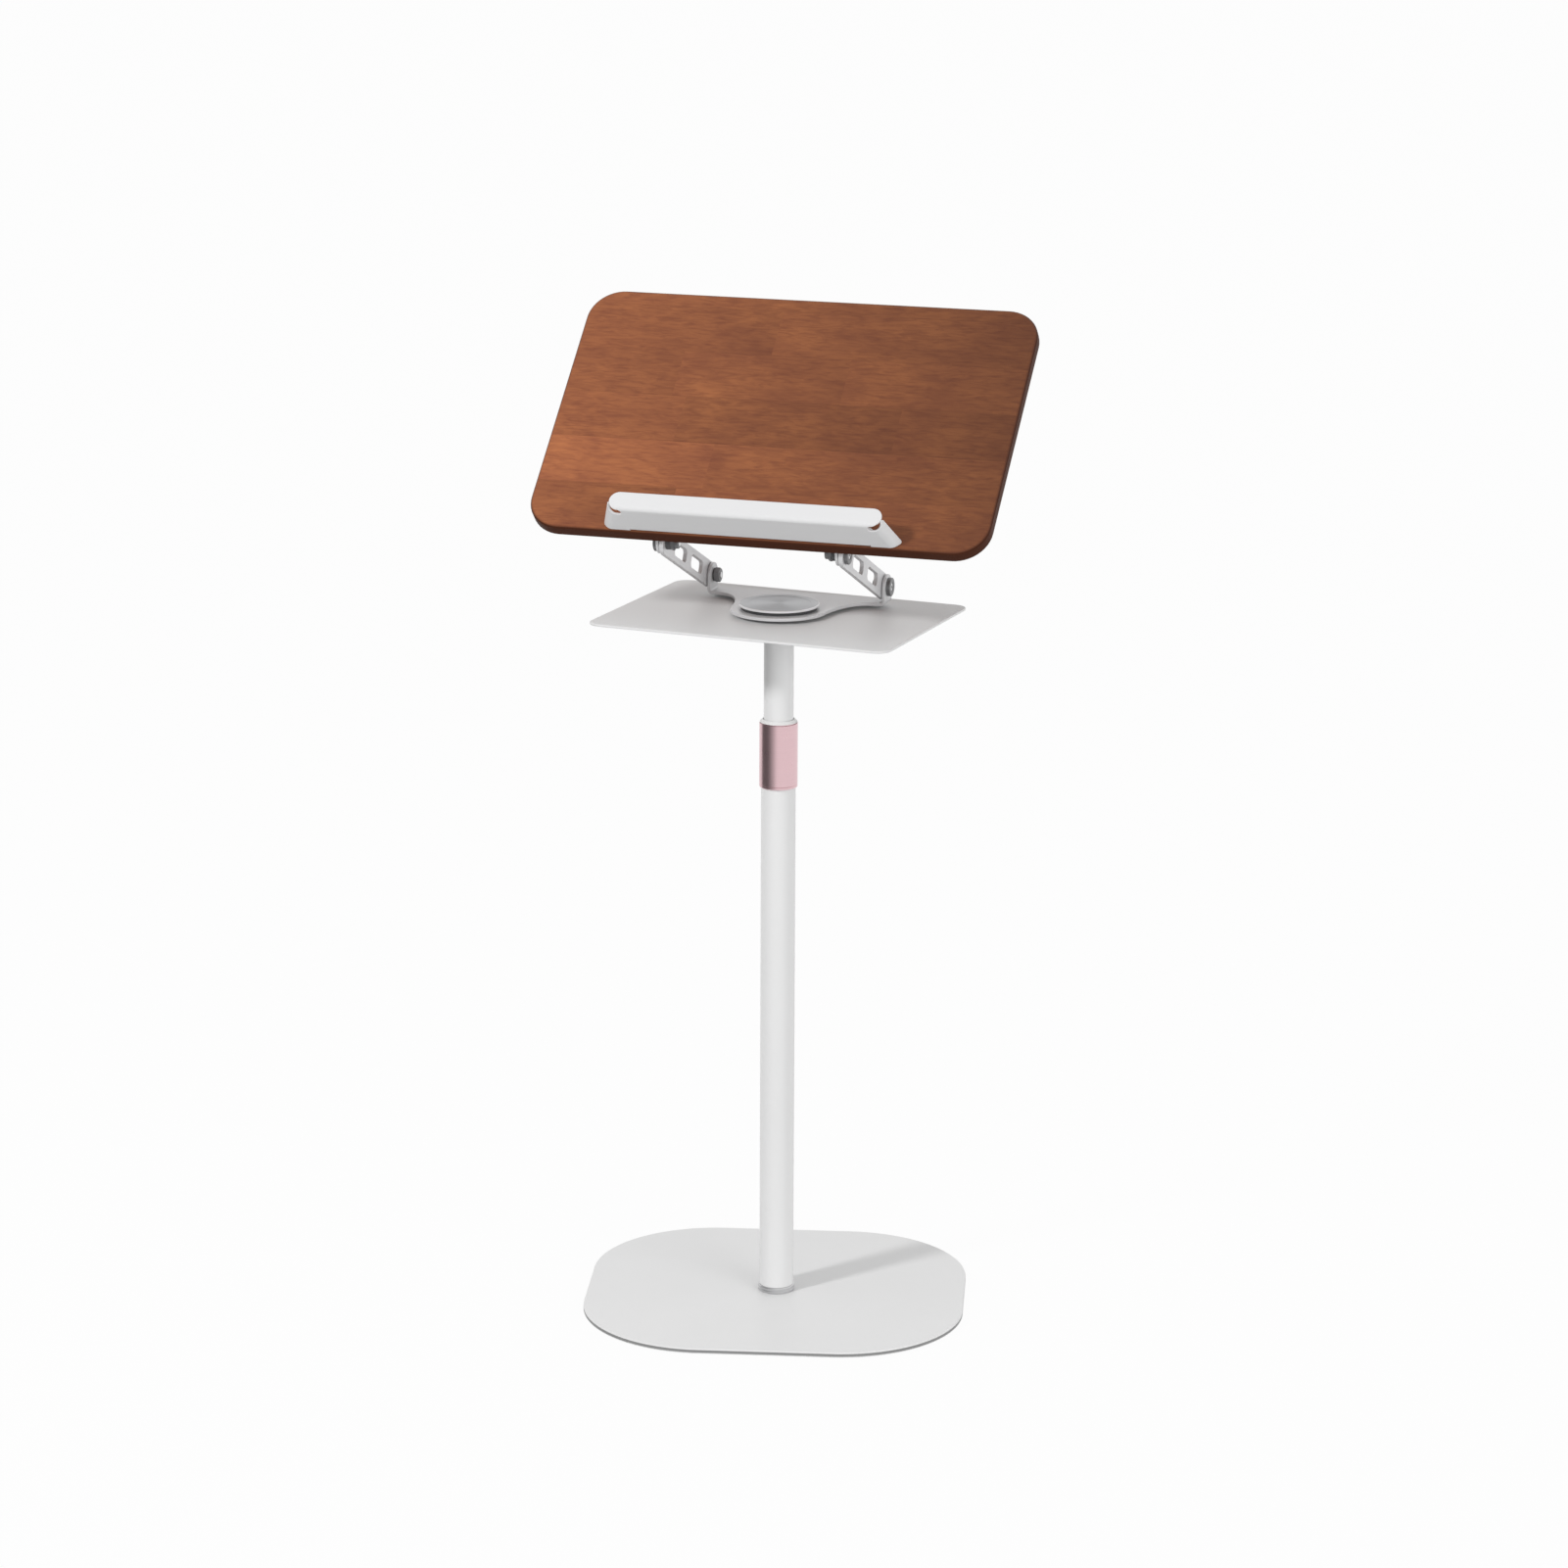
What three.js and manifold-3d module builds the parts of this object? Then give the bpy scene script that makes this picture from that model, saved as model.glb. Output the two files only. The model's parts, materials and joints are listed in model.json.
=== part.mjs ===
// Adjustable reading stand: a flat steel base, two telescoping tubes joined by a twist lock,
// a steel tray, and a wooden board that swivels on a turntable and tilts on two hinged arms.
// Millimetres, +Z up. The origin is on the floor under the axis of the tubes.
// +X runs along the board's width, and the reader stands on the -Y side.

import * as THREE from 'three';
import { mergeVertices } from 'three/addons/utils/BufferGeometryUtils.js';
import Module from 'manifold-3d';

// Base
const baseWidth = 312;
const baseDepth = 280;
const baseCornerRadius = 102;
const basePlateThickness = 4;
const baseEdgeRound = 0.8;
const baseTurnDegrees = 13.8;
const floorPadThickness = 1.5;
const floorPadDiameter = 22;
const floorPadEdgeGap = 12;
const centrePadDiameter = 44;

// Foot of the post
const footCollarDiameter = 30;
const footCollarHeight = 5;
const footCollarEdge = 0.8;
const footPlugHeight = 22;
const baseScrewDiameter = 8;
const baseScrewHeadDiameter = 15;
const baseScrewGrip = 16;

// Telescoping tubes
const upperTubeDiameter = 24;
const tubeWall = 1.2;
const linerThickness = 0.6;
const runningClearance = 0.1;
const lowerTubeLength = 440;
const upperTubeLength = 440;
const restExtension = 122.5;

// Twist lock
const sleeveLength = 56;
const sleeveWall = 1.3;
const sleeveClearance = 0.2;
const sleeveOverlap = 14;
const sleeveLipHeight = 4;
const sleeveLipClearance = 0.5;
const sleeveConeHeight = 10;
const sleeveChamfer = 0.6;
const bushLength = 42;
const bushFlangeThickness = 1.5;
const nippleHeight = 13;
const nippleClearance = 0.3;
const colletTipThickness = 0.8;
const colletSlit = 2;
const colletGap = 0.3;

// Glide at the lower end of the upper tube
const glideHeight = 12;
const glideSpigotLength = 15;
const glideBoreDiameter = 10;
const glideEndGap = 0.2;

// Tray and its hub
const trayWidth = 256;
const trayDepth = 184;
const trayCornerRadius = 12;
const trayThickness = 2;
const trayTurnDegrees = -5.1;
const hubFlangeDiameter = 60;
const hubFlangeThickness = 3;
const hubSpigotLength = 25;

// Turntable
const pivotScrewDiameter = 8;
const pivotScrewHeadDiameter = 19;
const pivotScrewHeadHeight = 1.8;
const pivotScrewGrip = 20;
const pivotSocketAcross = 5;
const pivotSocketDepth = 1;
const bearingDiameter = 56;
const bearingThickness = 2.5;
const bearingCollarWall = 1.9;
const washerDiameter = 22;
const washerThickness = 0.6;
const bracketThickness = 2.5;
const bracketNoseRadius = 39;
const discDiameter = 64;
const discThickness = 1.8;
const discChamfer = 0.8;
const discBossDiameter = 44;
const discBossBore = 28;
const discHeadGap = 0.3;

// Hinge ears and arms
const hingeSpacing = 147.6;
const pivotSetback = 53;
const pivotRise = 14.5;
const earRadius = 10;
const armLength = 116.5;
const armWidth = 21;
const armThickness = 3.5;
const armRiseDegrees = 23.7;
const armWindowLength = 30;
const armWindowWidth = 10.5;
const armWindowRadius = 3.5;
const armWindowSpacing = 43;

// Hinge pins and what is on them
const pinDiameter = 5;
const pinClearance = 0.12;
const frictionWasherDiameter = 16;
const frictionWasherThickness = 0.6;
const cupDiameter = 15;
const cupLength = 3.2;
const cupWall = 4;
const cupChamfer = 0.6;
const cupFloorThickness = 1;
const pinHeadClearance = 0.2;
const pinHeadRecess = 0.4;
const pinSocketAcross = 2.5;
const pinSocketDepth = 0.8;
const pinTail = 0.6;
const springStackDiameter = 11;
const lowerStackLength = 1;
const upperStackLength = 4;
const hingeNutAcross = 10.5;
const lowerNutLength = 4.6;
const upperNutLength = 3;
const nutCollarDiameter = 8.8;
const nutCollarLength = 3;

// Board
const boardWidth = 378;
const boardHeight = 236;
const boardThickness = 12;
const boardCornerRadius = 28;
const boardEdgeRound = 2.5;
const boardLeanDegrees = 46;

// Hinge leaves on the back of the board
const leafThickness = 2.5;
const leafStandoff = 12;
const leafRise = 8.5;
const leafFlangeWidth = 24;
const leafFlangeHeight = 66;
const leafFlangeDrop = 5;
const leafCornerRadius = 6;
const leafEarRadius = 9;
const leafScrewEdge = 10;

// Book ledge
const ledgeSheet = 1.8;
const ledgeLift = 1;
const ledgeDepth = 29;
const ledgeBackWidth = 242;
const ledgeLipWidth = 224;
const ledgeLipHeight = 16.3;
const ledgeCornerRadius = 9;
const ledgeReliefRadius = 5.3;
const ledgeFlangeWidth = 196;
const ledgeFlangeHeight = 17;
const ledgeFlangeRadius = 5;
const ledgeScrewEdge = 16;

// Wood screws for the leaves and the ledge
const screwDiameter = 3.2;
const screwHeadDiameter = 6.4;
const screwHeadHeight = 1.6;
const screwGrip = 7;
const screwClearance = 0.15;

// Gap between pieces that rest on each other in the tilted board, and how far a cut runs past
const seatGap = 0.3;
const overrun = 1;

// Sides of the faceted round pieces
const roundSides = 36;
const smallRoundSides = 16;
const screwSides = 10;
const curveSides = 6;
const smallCurveSides = 4;
const hexSides = 6;

const degree = Math.PI / 180;
const wasm = await Module();
wasm.setup();

// Colours and finishes
function finish(color, roughness, metalness) {
  return new THREE.MeshStandardMaterial({ color, roughness, metalness });
}
const whiteCoat = () => finish(0xe6e6e6, 0.45, 0.1);
const trayCoat = () => finish(0xdcdcdc, 0.5, 0.1);
const hingeMetal = () => finish(0xc6c6c8, 0.4, 0.6);
const spunAluminium = () => finish(0xb4b4b6, 0.3, 0.9);
const pinkAnodised = () => finish(0xe3c3c9, 0.28, 0.7);
const walnut = () => finish(0x96573a, 0.5, 0);
const darkSteel = () => finish(0x3c3c3e, 0.45, 0.6);
const brightSteel = () => finish(0xa9a9ab, 0.35, 0.9);
const greyNylon = () => finish(0x8c8c8e, 0.6, 0);
const blackRubber = () => finish(0x2a2a2b, 0.85, 0);

// Solids: a closed geometry becomes a solid that can be cut and joined, and a geometry again.
function toSolid(geometry) {
  const bare = geometry.clone();
  bare.deleteAttribute('normal');
  bare.deleteAttribute('uv');
  const merged = mergeVertices(bare);
  const corners = merged.index.array;
  const kept = [];
  for (let i = 0; i < corners.length; i += 3) {
    const [a, b, c] = [corners[i], corners[i + 1], corners[i + 2]];
    if (a !== b && b !== c && c !== a) kept.push(a, b, c);
  }
  const vertProperties = new Float32Array(merged.attributes.position.array);
  return new wasm.Manifold(new wasm.Mesh({ numProp: 3, vertProperties, triVerts: new Uint32Array(kept) }));
}

function toGeometry(solid) {
  const mesh = solid.getMesh();
  const geometry = new THREE.BufferGeometry();
  geometry.setAttribute('position', new THREE.BufferAttribute(new Float32Array(mesh.vertProperties), 3));
  geometry.setIndex(Array.from(mesh.triVerts));
  geometry.computeVertexNormals();
  return geometry;
}

function cut(geometry, ...tools) {
  return toGeometry(tools.reduce((solid, tool) => solid.subtract(toSolid(tool)), toSolid(geometry)));
}

function trim(geometry, outer) {
  return toGeometry(toSolid(geometry).intersect(toSolid(outer)));
}

function join(geometry, ...others) {
  return toGeometry(others.reduce((solid, other) => solid.add(toSolid(other)), toSolid(geometry)));
}

// A solid of revolution about Z. The profile lists [radius, height] up the outside.
function turned(profile, sides = roundSides) {
  const points = profile.map(([radius, height]) => new THREE.Vector2(radius, height));
  return new THREE.LatheGeometry(points, sides).rotateX(Math.PI / 2);
}

function ring(outerRadius, innerRadius, bottom, top, sides = roundSides) {
  const profile = [[innerRadius, bottom], [outerRadius, bottom], [outerRadius, top], [innerRadius, top]];
  return turned([...profile, profile[0]], sides);
}

function disc(radius, bottom, top, sides = roundSides) {
  return turned([[0, bottom], [radius, bottom], [radius, top], [0, top]], sides);
}

// The same round pieces with their axis along X.
function alongX(geometry) {
  return geometry.rotateY(Math.PI / 2);
}

// A plate from a flat outline, lying in XY, from bottom to top.
function plate(outline, bottom, top, edgeRound = 0, curveSegments = curveSides) {
  const geometry = new THREE.ExtrudeGeometry(outline, {
    depth: top - bottom - 2 * edgeRound,
    curveSegments,
    bevelEnabled: edgeRound > 0,
    bevelThickness: edgeRound,
    bevelSize: edgeRound,
    bevelOffset: -edgeRound,
    bevelSegments: 2,
  });
  return geometry.translate(0, 0, bottom + edgeRound);
}

// A plate from an outline drawn in Y and Z, standing between two places on X.
function sidePlate(outline, from, to) {
  const turn = new THREE.Matrix4().makeBasis(
    new THREE.Vector3(0, 1, 0),
    new THREE.Vector3(0, 0, 1),
    new THREE.Vector3(1, 0, 0),
  );
  return plate(outline, from, to, 0, smallCurveSides).applyMatrix4(turn);
}

function roundedRectangle(width, height, radius, centreX = 0, centreY = 0) {
  const shape = new THREE.Shape();
  const [right, top] = [centreX + width / 2, centreY + height / 2];
  const [left, bottom] = [centreX - width / 2, centreY - height / 2];
  shape.moveTo(left + radius, bottom);
  shape.lineTo(right - radius, bottom);
  shape.absarc(right - radius, bottom + radius, radius, -Math.PI / 2, 0, false);
  shape.lineTo(right, top - radius);
  shape.absarc(right - radius, top - radius, radius, 0, Math.PI / 2, false);
  shape.lineTo(left + radius, top);
  shape.absarc(left + radius, top - radius, radius, Math.PI / 2, Math.PI, false);
  shape.lineTo(left, bottom + radius);
  shape.absarc(left + radius, bottom + radius, radius, Math.PI, Math.PI * 1.5, false);
  return shape;
}

function circleHole(radius, x = 0, y = 0) {
  const hole = new THREE.Path();
  hole.absarc(x, y, radius, 0, -Math.PI, true);
  hole.absarc(x, y, radius, Math.PI, 0, true);
  return hole;
}

function hexagon(across) {
  const cornerRadius = across / 2 / Math.cos(Math.PI / hexSides);
  const shape = new THREE.Shape();
  for (let i = 0; i < hexSides; i += 1) {
    const angle = 2 * Math.PI * i / hexSides;
    const corner = [cornerRadius * Math.cos(angle), cornerRadius * Math.sin(angle)];
    if (i === 0) shape.moveTo(...corner);
    else shape.lineTo(...corner);
  }
  shape.closePath();
  return shape;
}

function add(parent, name, geometry, material) {
  const mesh = new THREE.Mesh(geometry, material);
  mesh.name = name;
  parent.add(mesh);
  return mesh;
}

// Radii and heights that follow from the driving sizes
const upperTubeRadius = upperTubeDiameter / 2;
const upperTubeBore = upperTubeRadius - tubeWall;
const lowerTubeBore = upperTubeRadius + linerThickness + 2 * runningClearance;
const lowerTubeRadius = lowerTubeBore + tubeWall;
const sleeveBore = lowerTubeRadius + sleeveClearance;
const sleeveRadius = sleeveBore + sleeveWall;
const baseTop = floorPadThickness + basePlateThickness;
const lowerTubeBottom = baseTop + footCollarHeight;
const lowerTubeTop = lowerTubeBottom + lowerTubeLength;
const upperTubeTop = lowerTubeTop + restExtension;
const upperTubeBottom = upperTubeTop - upperTubeLength;
const trayBottom = upperTubeTop + hubFlangeThickness;
const trayTop = trayBottom + trayThickness;
const bracketBottom = trayTop + bearingThickness;
const bracketTop = bracketBottom + bracketThickness;
const pivotHeight = bracketBottom + pivotRise;
const screwSeat = bracketTop + washerThickness;

const stand = new THREE.Group();

// Base: a painted steel plate on rubber pads, with the post screwed to it from below.
function buildBase() {
  const base = new THREE.Group();
  base.rotation.z = baseTurnDegrees * degree;
  stand.add(base);

  const outline = roundedRectangle(baseWidth, baseDepth, baseCornerRadius);
  const slab = plate(outline, floorPadThickness, baseTop, baseEdgeRound);
  const screwHole = baseScrewDiameter / 2 + runningClearance;
  const headHole = baseScrewHeadDiameter / 2 + runningClearance;
  const countersink = turned([
    [0, floorPadThickness - overrun],
    [headHole, floorPadThickness - overrun],
    [headHole, floorPadThickness],
    [screwHole, baseTop - baseEdgeRound],
    [screwHole, baseTop + overrun],
    [0, baseTop + overrun],
  ], smallRoundSides);
  add(base, 'base_plate', cut(slab, countersink), whiteCoat());

  const padRadius = floorPadDiameter / 2;
  const padReach = (baseCornerRadius - floorPadEdgeGap - padRadius) * Math.SQRT1_2;
  const padX = baseWidth / 2 - baseCornerRadius + padReach;
  const padY = baseDepth / 2 - baseCornerRadius + padReach;
  const corners = [
    ['front_left', -1, -1],
    ['front_right', 1, -1],
    ['rear_left', -1, 1],
    ['rear_right', 1, 1],
  ];
  for (const [place, sideX, sideY] of corners) {
    const pad = disc(padRadius, 0, floorPadThickness, smallRoundSides);
    add(base, `floor_pad_${place}`, pad, blackRubber()).position.set(sideX * padX, sideY * padY, 0);
  }
  add(base, 'centre_pad', disc(centrePadDiameter / 2, 0, floorPadThickness), blackRubber());

  const screwTop = baseTop + baseScrewGrip;
  add(base, 'base_screw', turned([
    [0, floorPadThickness],
    [baseScrewHeadDiameter / 2, floorPadThickness],
    [baseScrewDiameter / 2, baseTop - baseEdgeRound],
    [baseScrewDiameter / 2, screwTop],
    [0, screwTop],
  ], smallRoundSides), brightSteel());
}

// Foot of the post: a collar that the tube stands on, and a threaded plug inside the tube.
function buildFoot() {
  const collarRadius = footCollarDiameter / 2;
  const bore = baseScrewDiameter / 2 + runningClearance;
  const profile = [
    [bore, baseTop],
    [collarRadius, baseTop],
    [collarRadius, lowerTubeBottom - footCollarEdge],
    [collarRadius - footCollarEdge, lowerTubeBottom],
    [bore, lowerTubeBottom],
  ];
  add(stand, 'foot_collar', turned([...profile, profile[0]]), brightSteel());
  const plugTop = lowerTubeBottom + footPlugHeight;
  const plug = ring(lowerTubeBore - runningClearance, bore, lowerTubeBottom, plugTop);
  add(stand, 'foot_plug', plug, brightSteel());
}

// The two tubes, the glide at the hidden end, and the guide bush at the mouth of the lower tube
function buildTubes() {
  const lower = ring(lowerTubeRadius, lowerTubeBore, lowerTubeBottom, lowerTubeTop);
  add(stand, 'lower_tube', lower, whiteCoat());
  const upper = ring(upperTubeRadius, upperTubeBore, upperTubeBottom, upperTubeTop);
  add(stand, 'upper_tube', upper, whiteCoat());

  const bushBore = upperTubeRadius + runningClearance;
  const bush = [
    [bushBore, lowerTubeTop - bushLength],
    [lowerTubeBore - runningClearance, lowerTubeTop - bushLength],
    [lowerTubeBore - runningClearance, lowerTubeTop],
    [lowerTubeRadius, lowerTubeTop],
    [lowerTubeRadius, lowerTubeTop + bushFlangeThickness],
    [bushBore, lowerTubeTop + bushFlangeThickness],
  ];
  add(stand, 'guide_bush', turned([...bush, bush[0]]), greyNylon());

  const glideTop = upperTubeBottom - glideEndGap;
  const glide = [
    [glideBoreDiameter / 2, glideTop - glideHeight],
    [lowerTubeBore - runningClearance, glideTop - glideHeight],
    [lowerTubeBore - runningClearance, glideTop],
    [upperTubeBore - runningClearance, glideTop],
    [upperTubeBore - runningClearance, glideTop + glideSpigotLength],
    [glideBoreDiameter / 2, glideTop + glideSpigotLength],
  ];
  add(stand, 'bottom_glide', turned([...glide, glide[0]]), greyNylon());
}

// Twist lock: the sleeve turns on the nipple and draws its cone down on the split collet.
function buildTwistLock() {
  const nippleBottom = lowerTubeTop + bushFlangeThickness;
  const nippleTop = nippleBottom + nippleHeight;
  const innerRadius = upperTubeRadius + runningClearance;
  const outerRadius = sleeveBore - nippleClearance;
  add(stand, 'clamp_nipple', ring(outerRadius, innerRadius, nippleBottom, nippleTop), greyNylon());

  const sleeveBottom = lowerTubeTop - sleeveOverlap;
  const sleeveTop = sleeveBottom + sleeveLength;
  const coneTop = sleeveTop - sleeveLipHeight;
  const coneBottom = coneTop - sleeveConeHeight;
  const lipRadius = upperTubeRadius + sleeveLipClearance;
  const colletRadius = sleeveBore - colletGap;
  const tipRadius = upperTubeRadius + colletTipThickness;
  const tipRise = sleeveConeHeight * (colletRadius - tipRadius) / (sleeveBore - lipRadius);
  const collet = [
    [innerRadius, nippleTop],
    [colletRadius, nippleTop],
    [colletRadius, coneBottom],
    [tipRadius, coneBottom + tipRise],
    [innerRadius, coneBottom + tipRise],
  ];
  const slit = plate(slitOutline(colletRadius), nippleTop - overrun, coneTop + overrun);
  add(stand, 'collet', cut(turned([...collet, collet[0]]), slit), greyNylon());

  const sleeve = [
    [sleeveBore, sleeveBottom],
    [sleeveRadius - sleeveChamfer, sleeveBottom],
    [sleeveRadius, sleeveBottom + sleeveChamfer],
    [sleeveRadius, sleeveTop - sleeveChamfer],
    [sleeveRadius - sleeveChamfer, sleeveTop],
    [lipRadius, sleeveTop],
    [lipRadius, coneTop],
    [sleeveBore, coneBottom],
  ];
  add(stand, 'lock_sleeve', turned([...sleeve, sleeve[0]]), pinkAnodised());
}

function slitOutline(reach) {
  const shape = new THREE.Shape();
  shape.moveTo(0, -colletSlit / 2);
  shape.lineTo(reach + overrun, -colletSlit / 2);
  shape.lineTo(reach + overrun, colletSlit / 2);
  shape.lineTo(0, colletSlit / 2);
  shape.closePath();
  return shape;
}

// Tray: a steel plate on the hub that closes the top of the upper tube.
function buildTray() {
  const bore = pivotScrewDiameter / 2 + runningClearance;
  const hub = [
    [bore, upperTubeTop - hubSpigotLength],
    [upperTubeBore - runningClearance, upperTubeTop - hubSpigotLength],
    [upperTubeBore - runningClearance, upperTubeTop],
    [hubFlangeDiameter / 2, upperTubeTop],
    [hubFlangeDiameter / 2, trayBottom],
    [bore, trayBottom],
  ];
  add(stand, 'tray_hub', turned([...hub, hub[0]]), brightSteel());
  const outline = roundedRectangle(trayWidth, trayDepth, trayCornerRadius);
  outline.holes.push(circleHole(bore));
  const tray = add(stand, 'tray_plate', plate(outline, trayBottom, trayTop), trayCoat());
  tray.rotation.z = trayTurnDegrees * degree;
}

// Turntable: the swivel bracket turns round a nylon bearing and is held by one low screw,
// which the spun disc covers.
function buildTurntable() {
  const bore = pivotScrewDiameter / 2 + runningClearance;
  const collarRadius = bore + bearingCollarWall;
  const bearing = [
    [bore, trayTop],
    [bearingDiameter / 2, trayTop],
    [bearingDiameter / 2, bracketBottom],
    [collarRadius, bracketBottom],
    [collarRadius, bracketTop],
    [bore, bracketTop],
  ];
  add(stand, 'lower_bearing', turned([...bearing, bearing[0]]), greyNylon());
  add(stand, 'upper_washer', ring(washerDiameter / 2, bore, bracketTop, screwSeat), greyNylon());

  const headTop = screwSeat + pivotScrewHeadHeight;
  const screw = turned([
    [0, screwSeat - pivotScrewGrip],
    [pivotScrewDiameter / 2, screwSeat - pivotScrewGrip],
    [pivotScrewDiameter / 2, screwSeat],
    [pivotScrewHeadDiameter / 2, screwSeat],
    [pivotScrewHeadDiameter / 2, headTop],
    [0, headTop],
  ]);
  const socket = plate(hexagon(pivotSocketAcross), headTop - pivotSocketDepth, headTop + overrun);
  add(stand, 'pivot_screw', cut(screw, socket), brightSteel());

  add(stand, 'swivel_bracket', bracketGeometry(collarRadius + runningClearance), hingeMetal());

  const discBottom = headTop + discHeadGap;
  const discTop = discBottom + discThickness;
  const discRadius = discDiameter / 2;
  add(stand, 'turntable_disc', turned([
    [0, discBottom],
    [discBossBore / 2, discBottom],
    [discBossBore / 2, bracketTop],
    [discBossDiameter / 2, bracketTop],
    [discBossDiameter / 2, discBottom],
    [discRadius, discBottom],
    [discRadius, discTop - discChamfer],
    [discRadius - discChamfer, discTop],
    [0, discTop],
  ]), spunAluminium());
}

// The bracket is one bent sheet: a round nose that sweeps out to two upright ears.
function bracketGeometry(bore) {
  const earOuter = hingeSpacing / 2 + bracketThickness / 2;
  const earFront = pivotSetback - earRadius;
  const earRear = pivotSetback + earRadius;
  const sweepNearShares = [0.12, 0.6];
  const sweepFarShares = [0.34, 1];
  const sweepEndShare = 0.78;
  const reach = earOuter - bracketNoseRadius;
  const outline = new THREE.Shape();
  outline.moveTo(-earOuter, earRear);
  outline.lineTo(-earOuter, earFront);
  outline.lineTo(-bracketNoseRadius - sweepEndShare * reach, earFront);
  outline.bezierCurveTo(
    -bracketNoseRadius - sweepFarShares[0] * reach, earFront * sweepFarShares[1],
    -bracketNoseRadius - sweepNearShares[0] * reach, earFront * sweepNearShares[1],
    -bracketNoseRadius, 0,
  );
  outline.absarc(0, 0, bracketNoseRadius, Math.PI, 2 * Math.PI, false);
  outline.bezierCurveTo(
    bracketNoseRadius + sweepNearShares[0] * reach, earFront * sweepNearShares[1],
    bracketNoseRadius + sweepFarShares[0] * reach, earFront * sweepFarShares[1],
    bracketNoseRadius + sweepEndShare * reach, earFront,
  );
  outline.lineTo(earOuter, earFront);
  outline.lineTo(earOuter, earRear);
  outline.closePath();
  outline.holes.push(circleHole(bore));
  const floor = plate(outline, bracketBottom, bracketTop);
  const ears = [-1, 1].map((side) => {
    const centre = side * hingeSpacing / 2;
    return sidePlate(earOutline(), centre - bracketThickness / 2, centre + bracketThickness / 2);
  });
  return join(floor, ...ears);
}

function earOutline() {
  const outline = new THREE.Shape();
  outline.moveTo(pivotSetback - earRadius, bracketBottom);
  outline.lineTo(pivotSetback + earRadius, bracketBottom);
  outline.lineTo(pivotSetback + earRadius, pivotHeight);
  outline.absarc(pivotSetback, pivotHeight, earRadius, 0, Math.PI, false);
  outline.closePath();
  outline.holes.push(circleHole(pinDiameter / 2 + pinClearance, pivotSetback, pivotHeight));
  return outline;
}

// Places on X, counted from the middle of a hinge's lower ear. On both hinges the arm lies on
// the left of the lower ear, and the board's leaf on the left of the arm.
const earFace = bracketThickness / 2;
const armRight = -earFace - frictionWasherThickness;
const armLeft = armRight - armThickness;
const leafRight = armLeft - frictionWasherThickness;
const leafLeft = leafRight - leafThickness;

// Arms: two flat links with lightening windows, and the pins at both their ends. The pins are
// put in from outside, so their heads are on the outer sides and their nuts face each other.
function buildArms() {
  const arms = new THREE.Group();
  arms.position.set(0, pivotSetback, pivotHeight);
  arms.rotation.x = -armRiseDegrees * degree;
  stand.add(arms);
  for (const [side, outward] of [['left', -1], ['right', 1]]) {
    const hinge = new THREE.Group();
    hinge.position.x = outward * hingeSpacing / 2;
    arms.add(hinge);
    add(hinge, `${side}_arm`, sidePlate(armOutline(), armLeft, armRight), hingeMetal());

    const lower = new THREE.Group();
    hinge.add(lower);
    const lowerNut = nutGeometry(lowerNutLength, 0);
    addPivot(lower, `${side}_lower`, outward, [armLeft, earFace], lowerStackLength, lowerNut);
    addWasher(lower, `${side}_lower`, armRight, -earFace);

    const upper = new THREE.Group();
    upper.position.y = -armLength;
    hinge.add(upper);
    const upperNut = nutGeometry(upperNutLength, nutCollarLength);
    addPivot(upper, `${side}_upper`, outward, [leafLeft, armRight], upperStackLength, upperNut);
    addWasher(upper, `${side}_upper`, leafRight, armLeft);
  }
}

function armOutline() {
  const radius = armWidth / 2;
  const outline = new THREE.Shape();
  outline.absarc(0, 0, radius, -Math.PI / 2, Math.PI / 2, false);
  outline.absarc(-armLength, 0, radius, Math.PI / 2, Math.PI * 1.5, false);
  outline.closePath();
  for (const end of [0, -armLength]) outline.holes.push(circleHole(pinDiameter / 2 + pinClearance, end, 0));
  for (const side of [-1, 1]) {
    const middle = -armLength / 2 + side * armWindowSpacing / 2;
    outline.holes.push(roundedRectangle(armWindowLength, armWindowWidth, armWindowRadius, middle, 0));
  }
  return outline;
}

// A nut along Z with its top at 0: a hexagon, and for a lock nut a round collar below it.
function nutGeometry(hexLength, collarLength) {
  const bore = pinDiameter / 2 + pinClearance;
  const outline = hexagon(hingeNutAcross);
  outline.holes.push(circleHole(bore));
  const body = plate(outline, -hexLength, 0, 0, smallCurveSides);
  if (collarLength === 0) return { geometry: body, length: hexLength };
  const length = hexLength + collarLength;
  const collar = ring(nutCollarDiameter / 2, bore, -length, -hexLength, smallRoundSides);
  return { geometry: join(body, collar), length };
}

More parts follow.
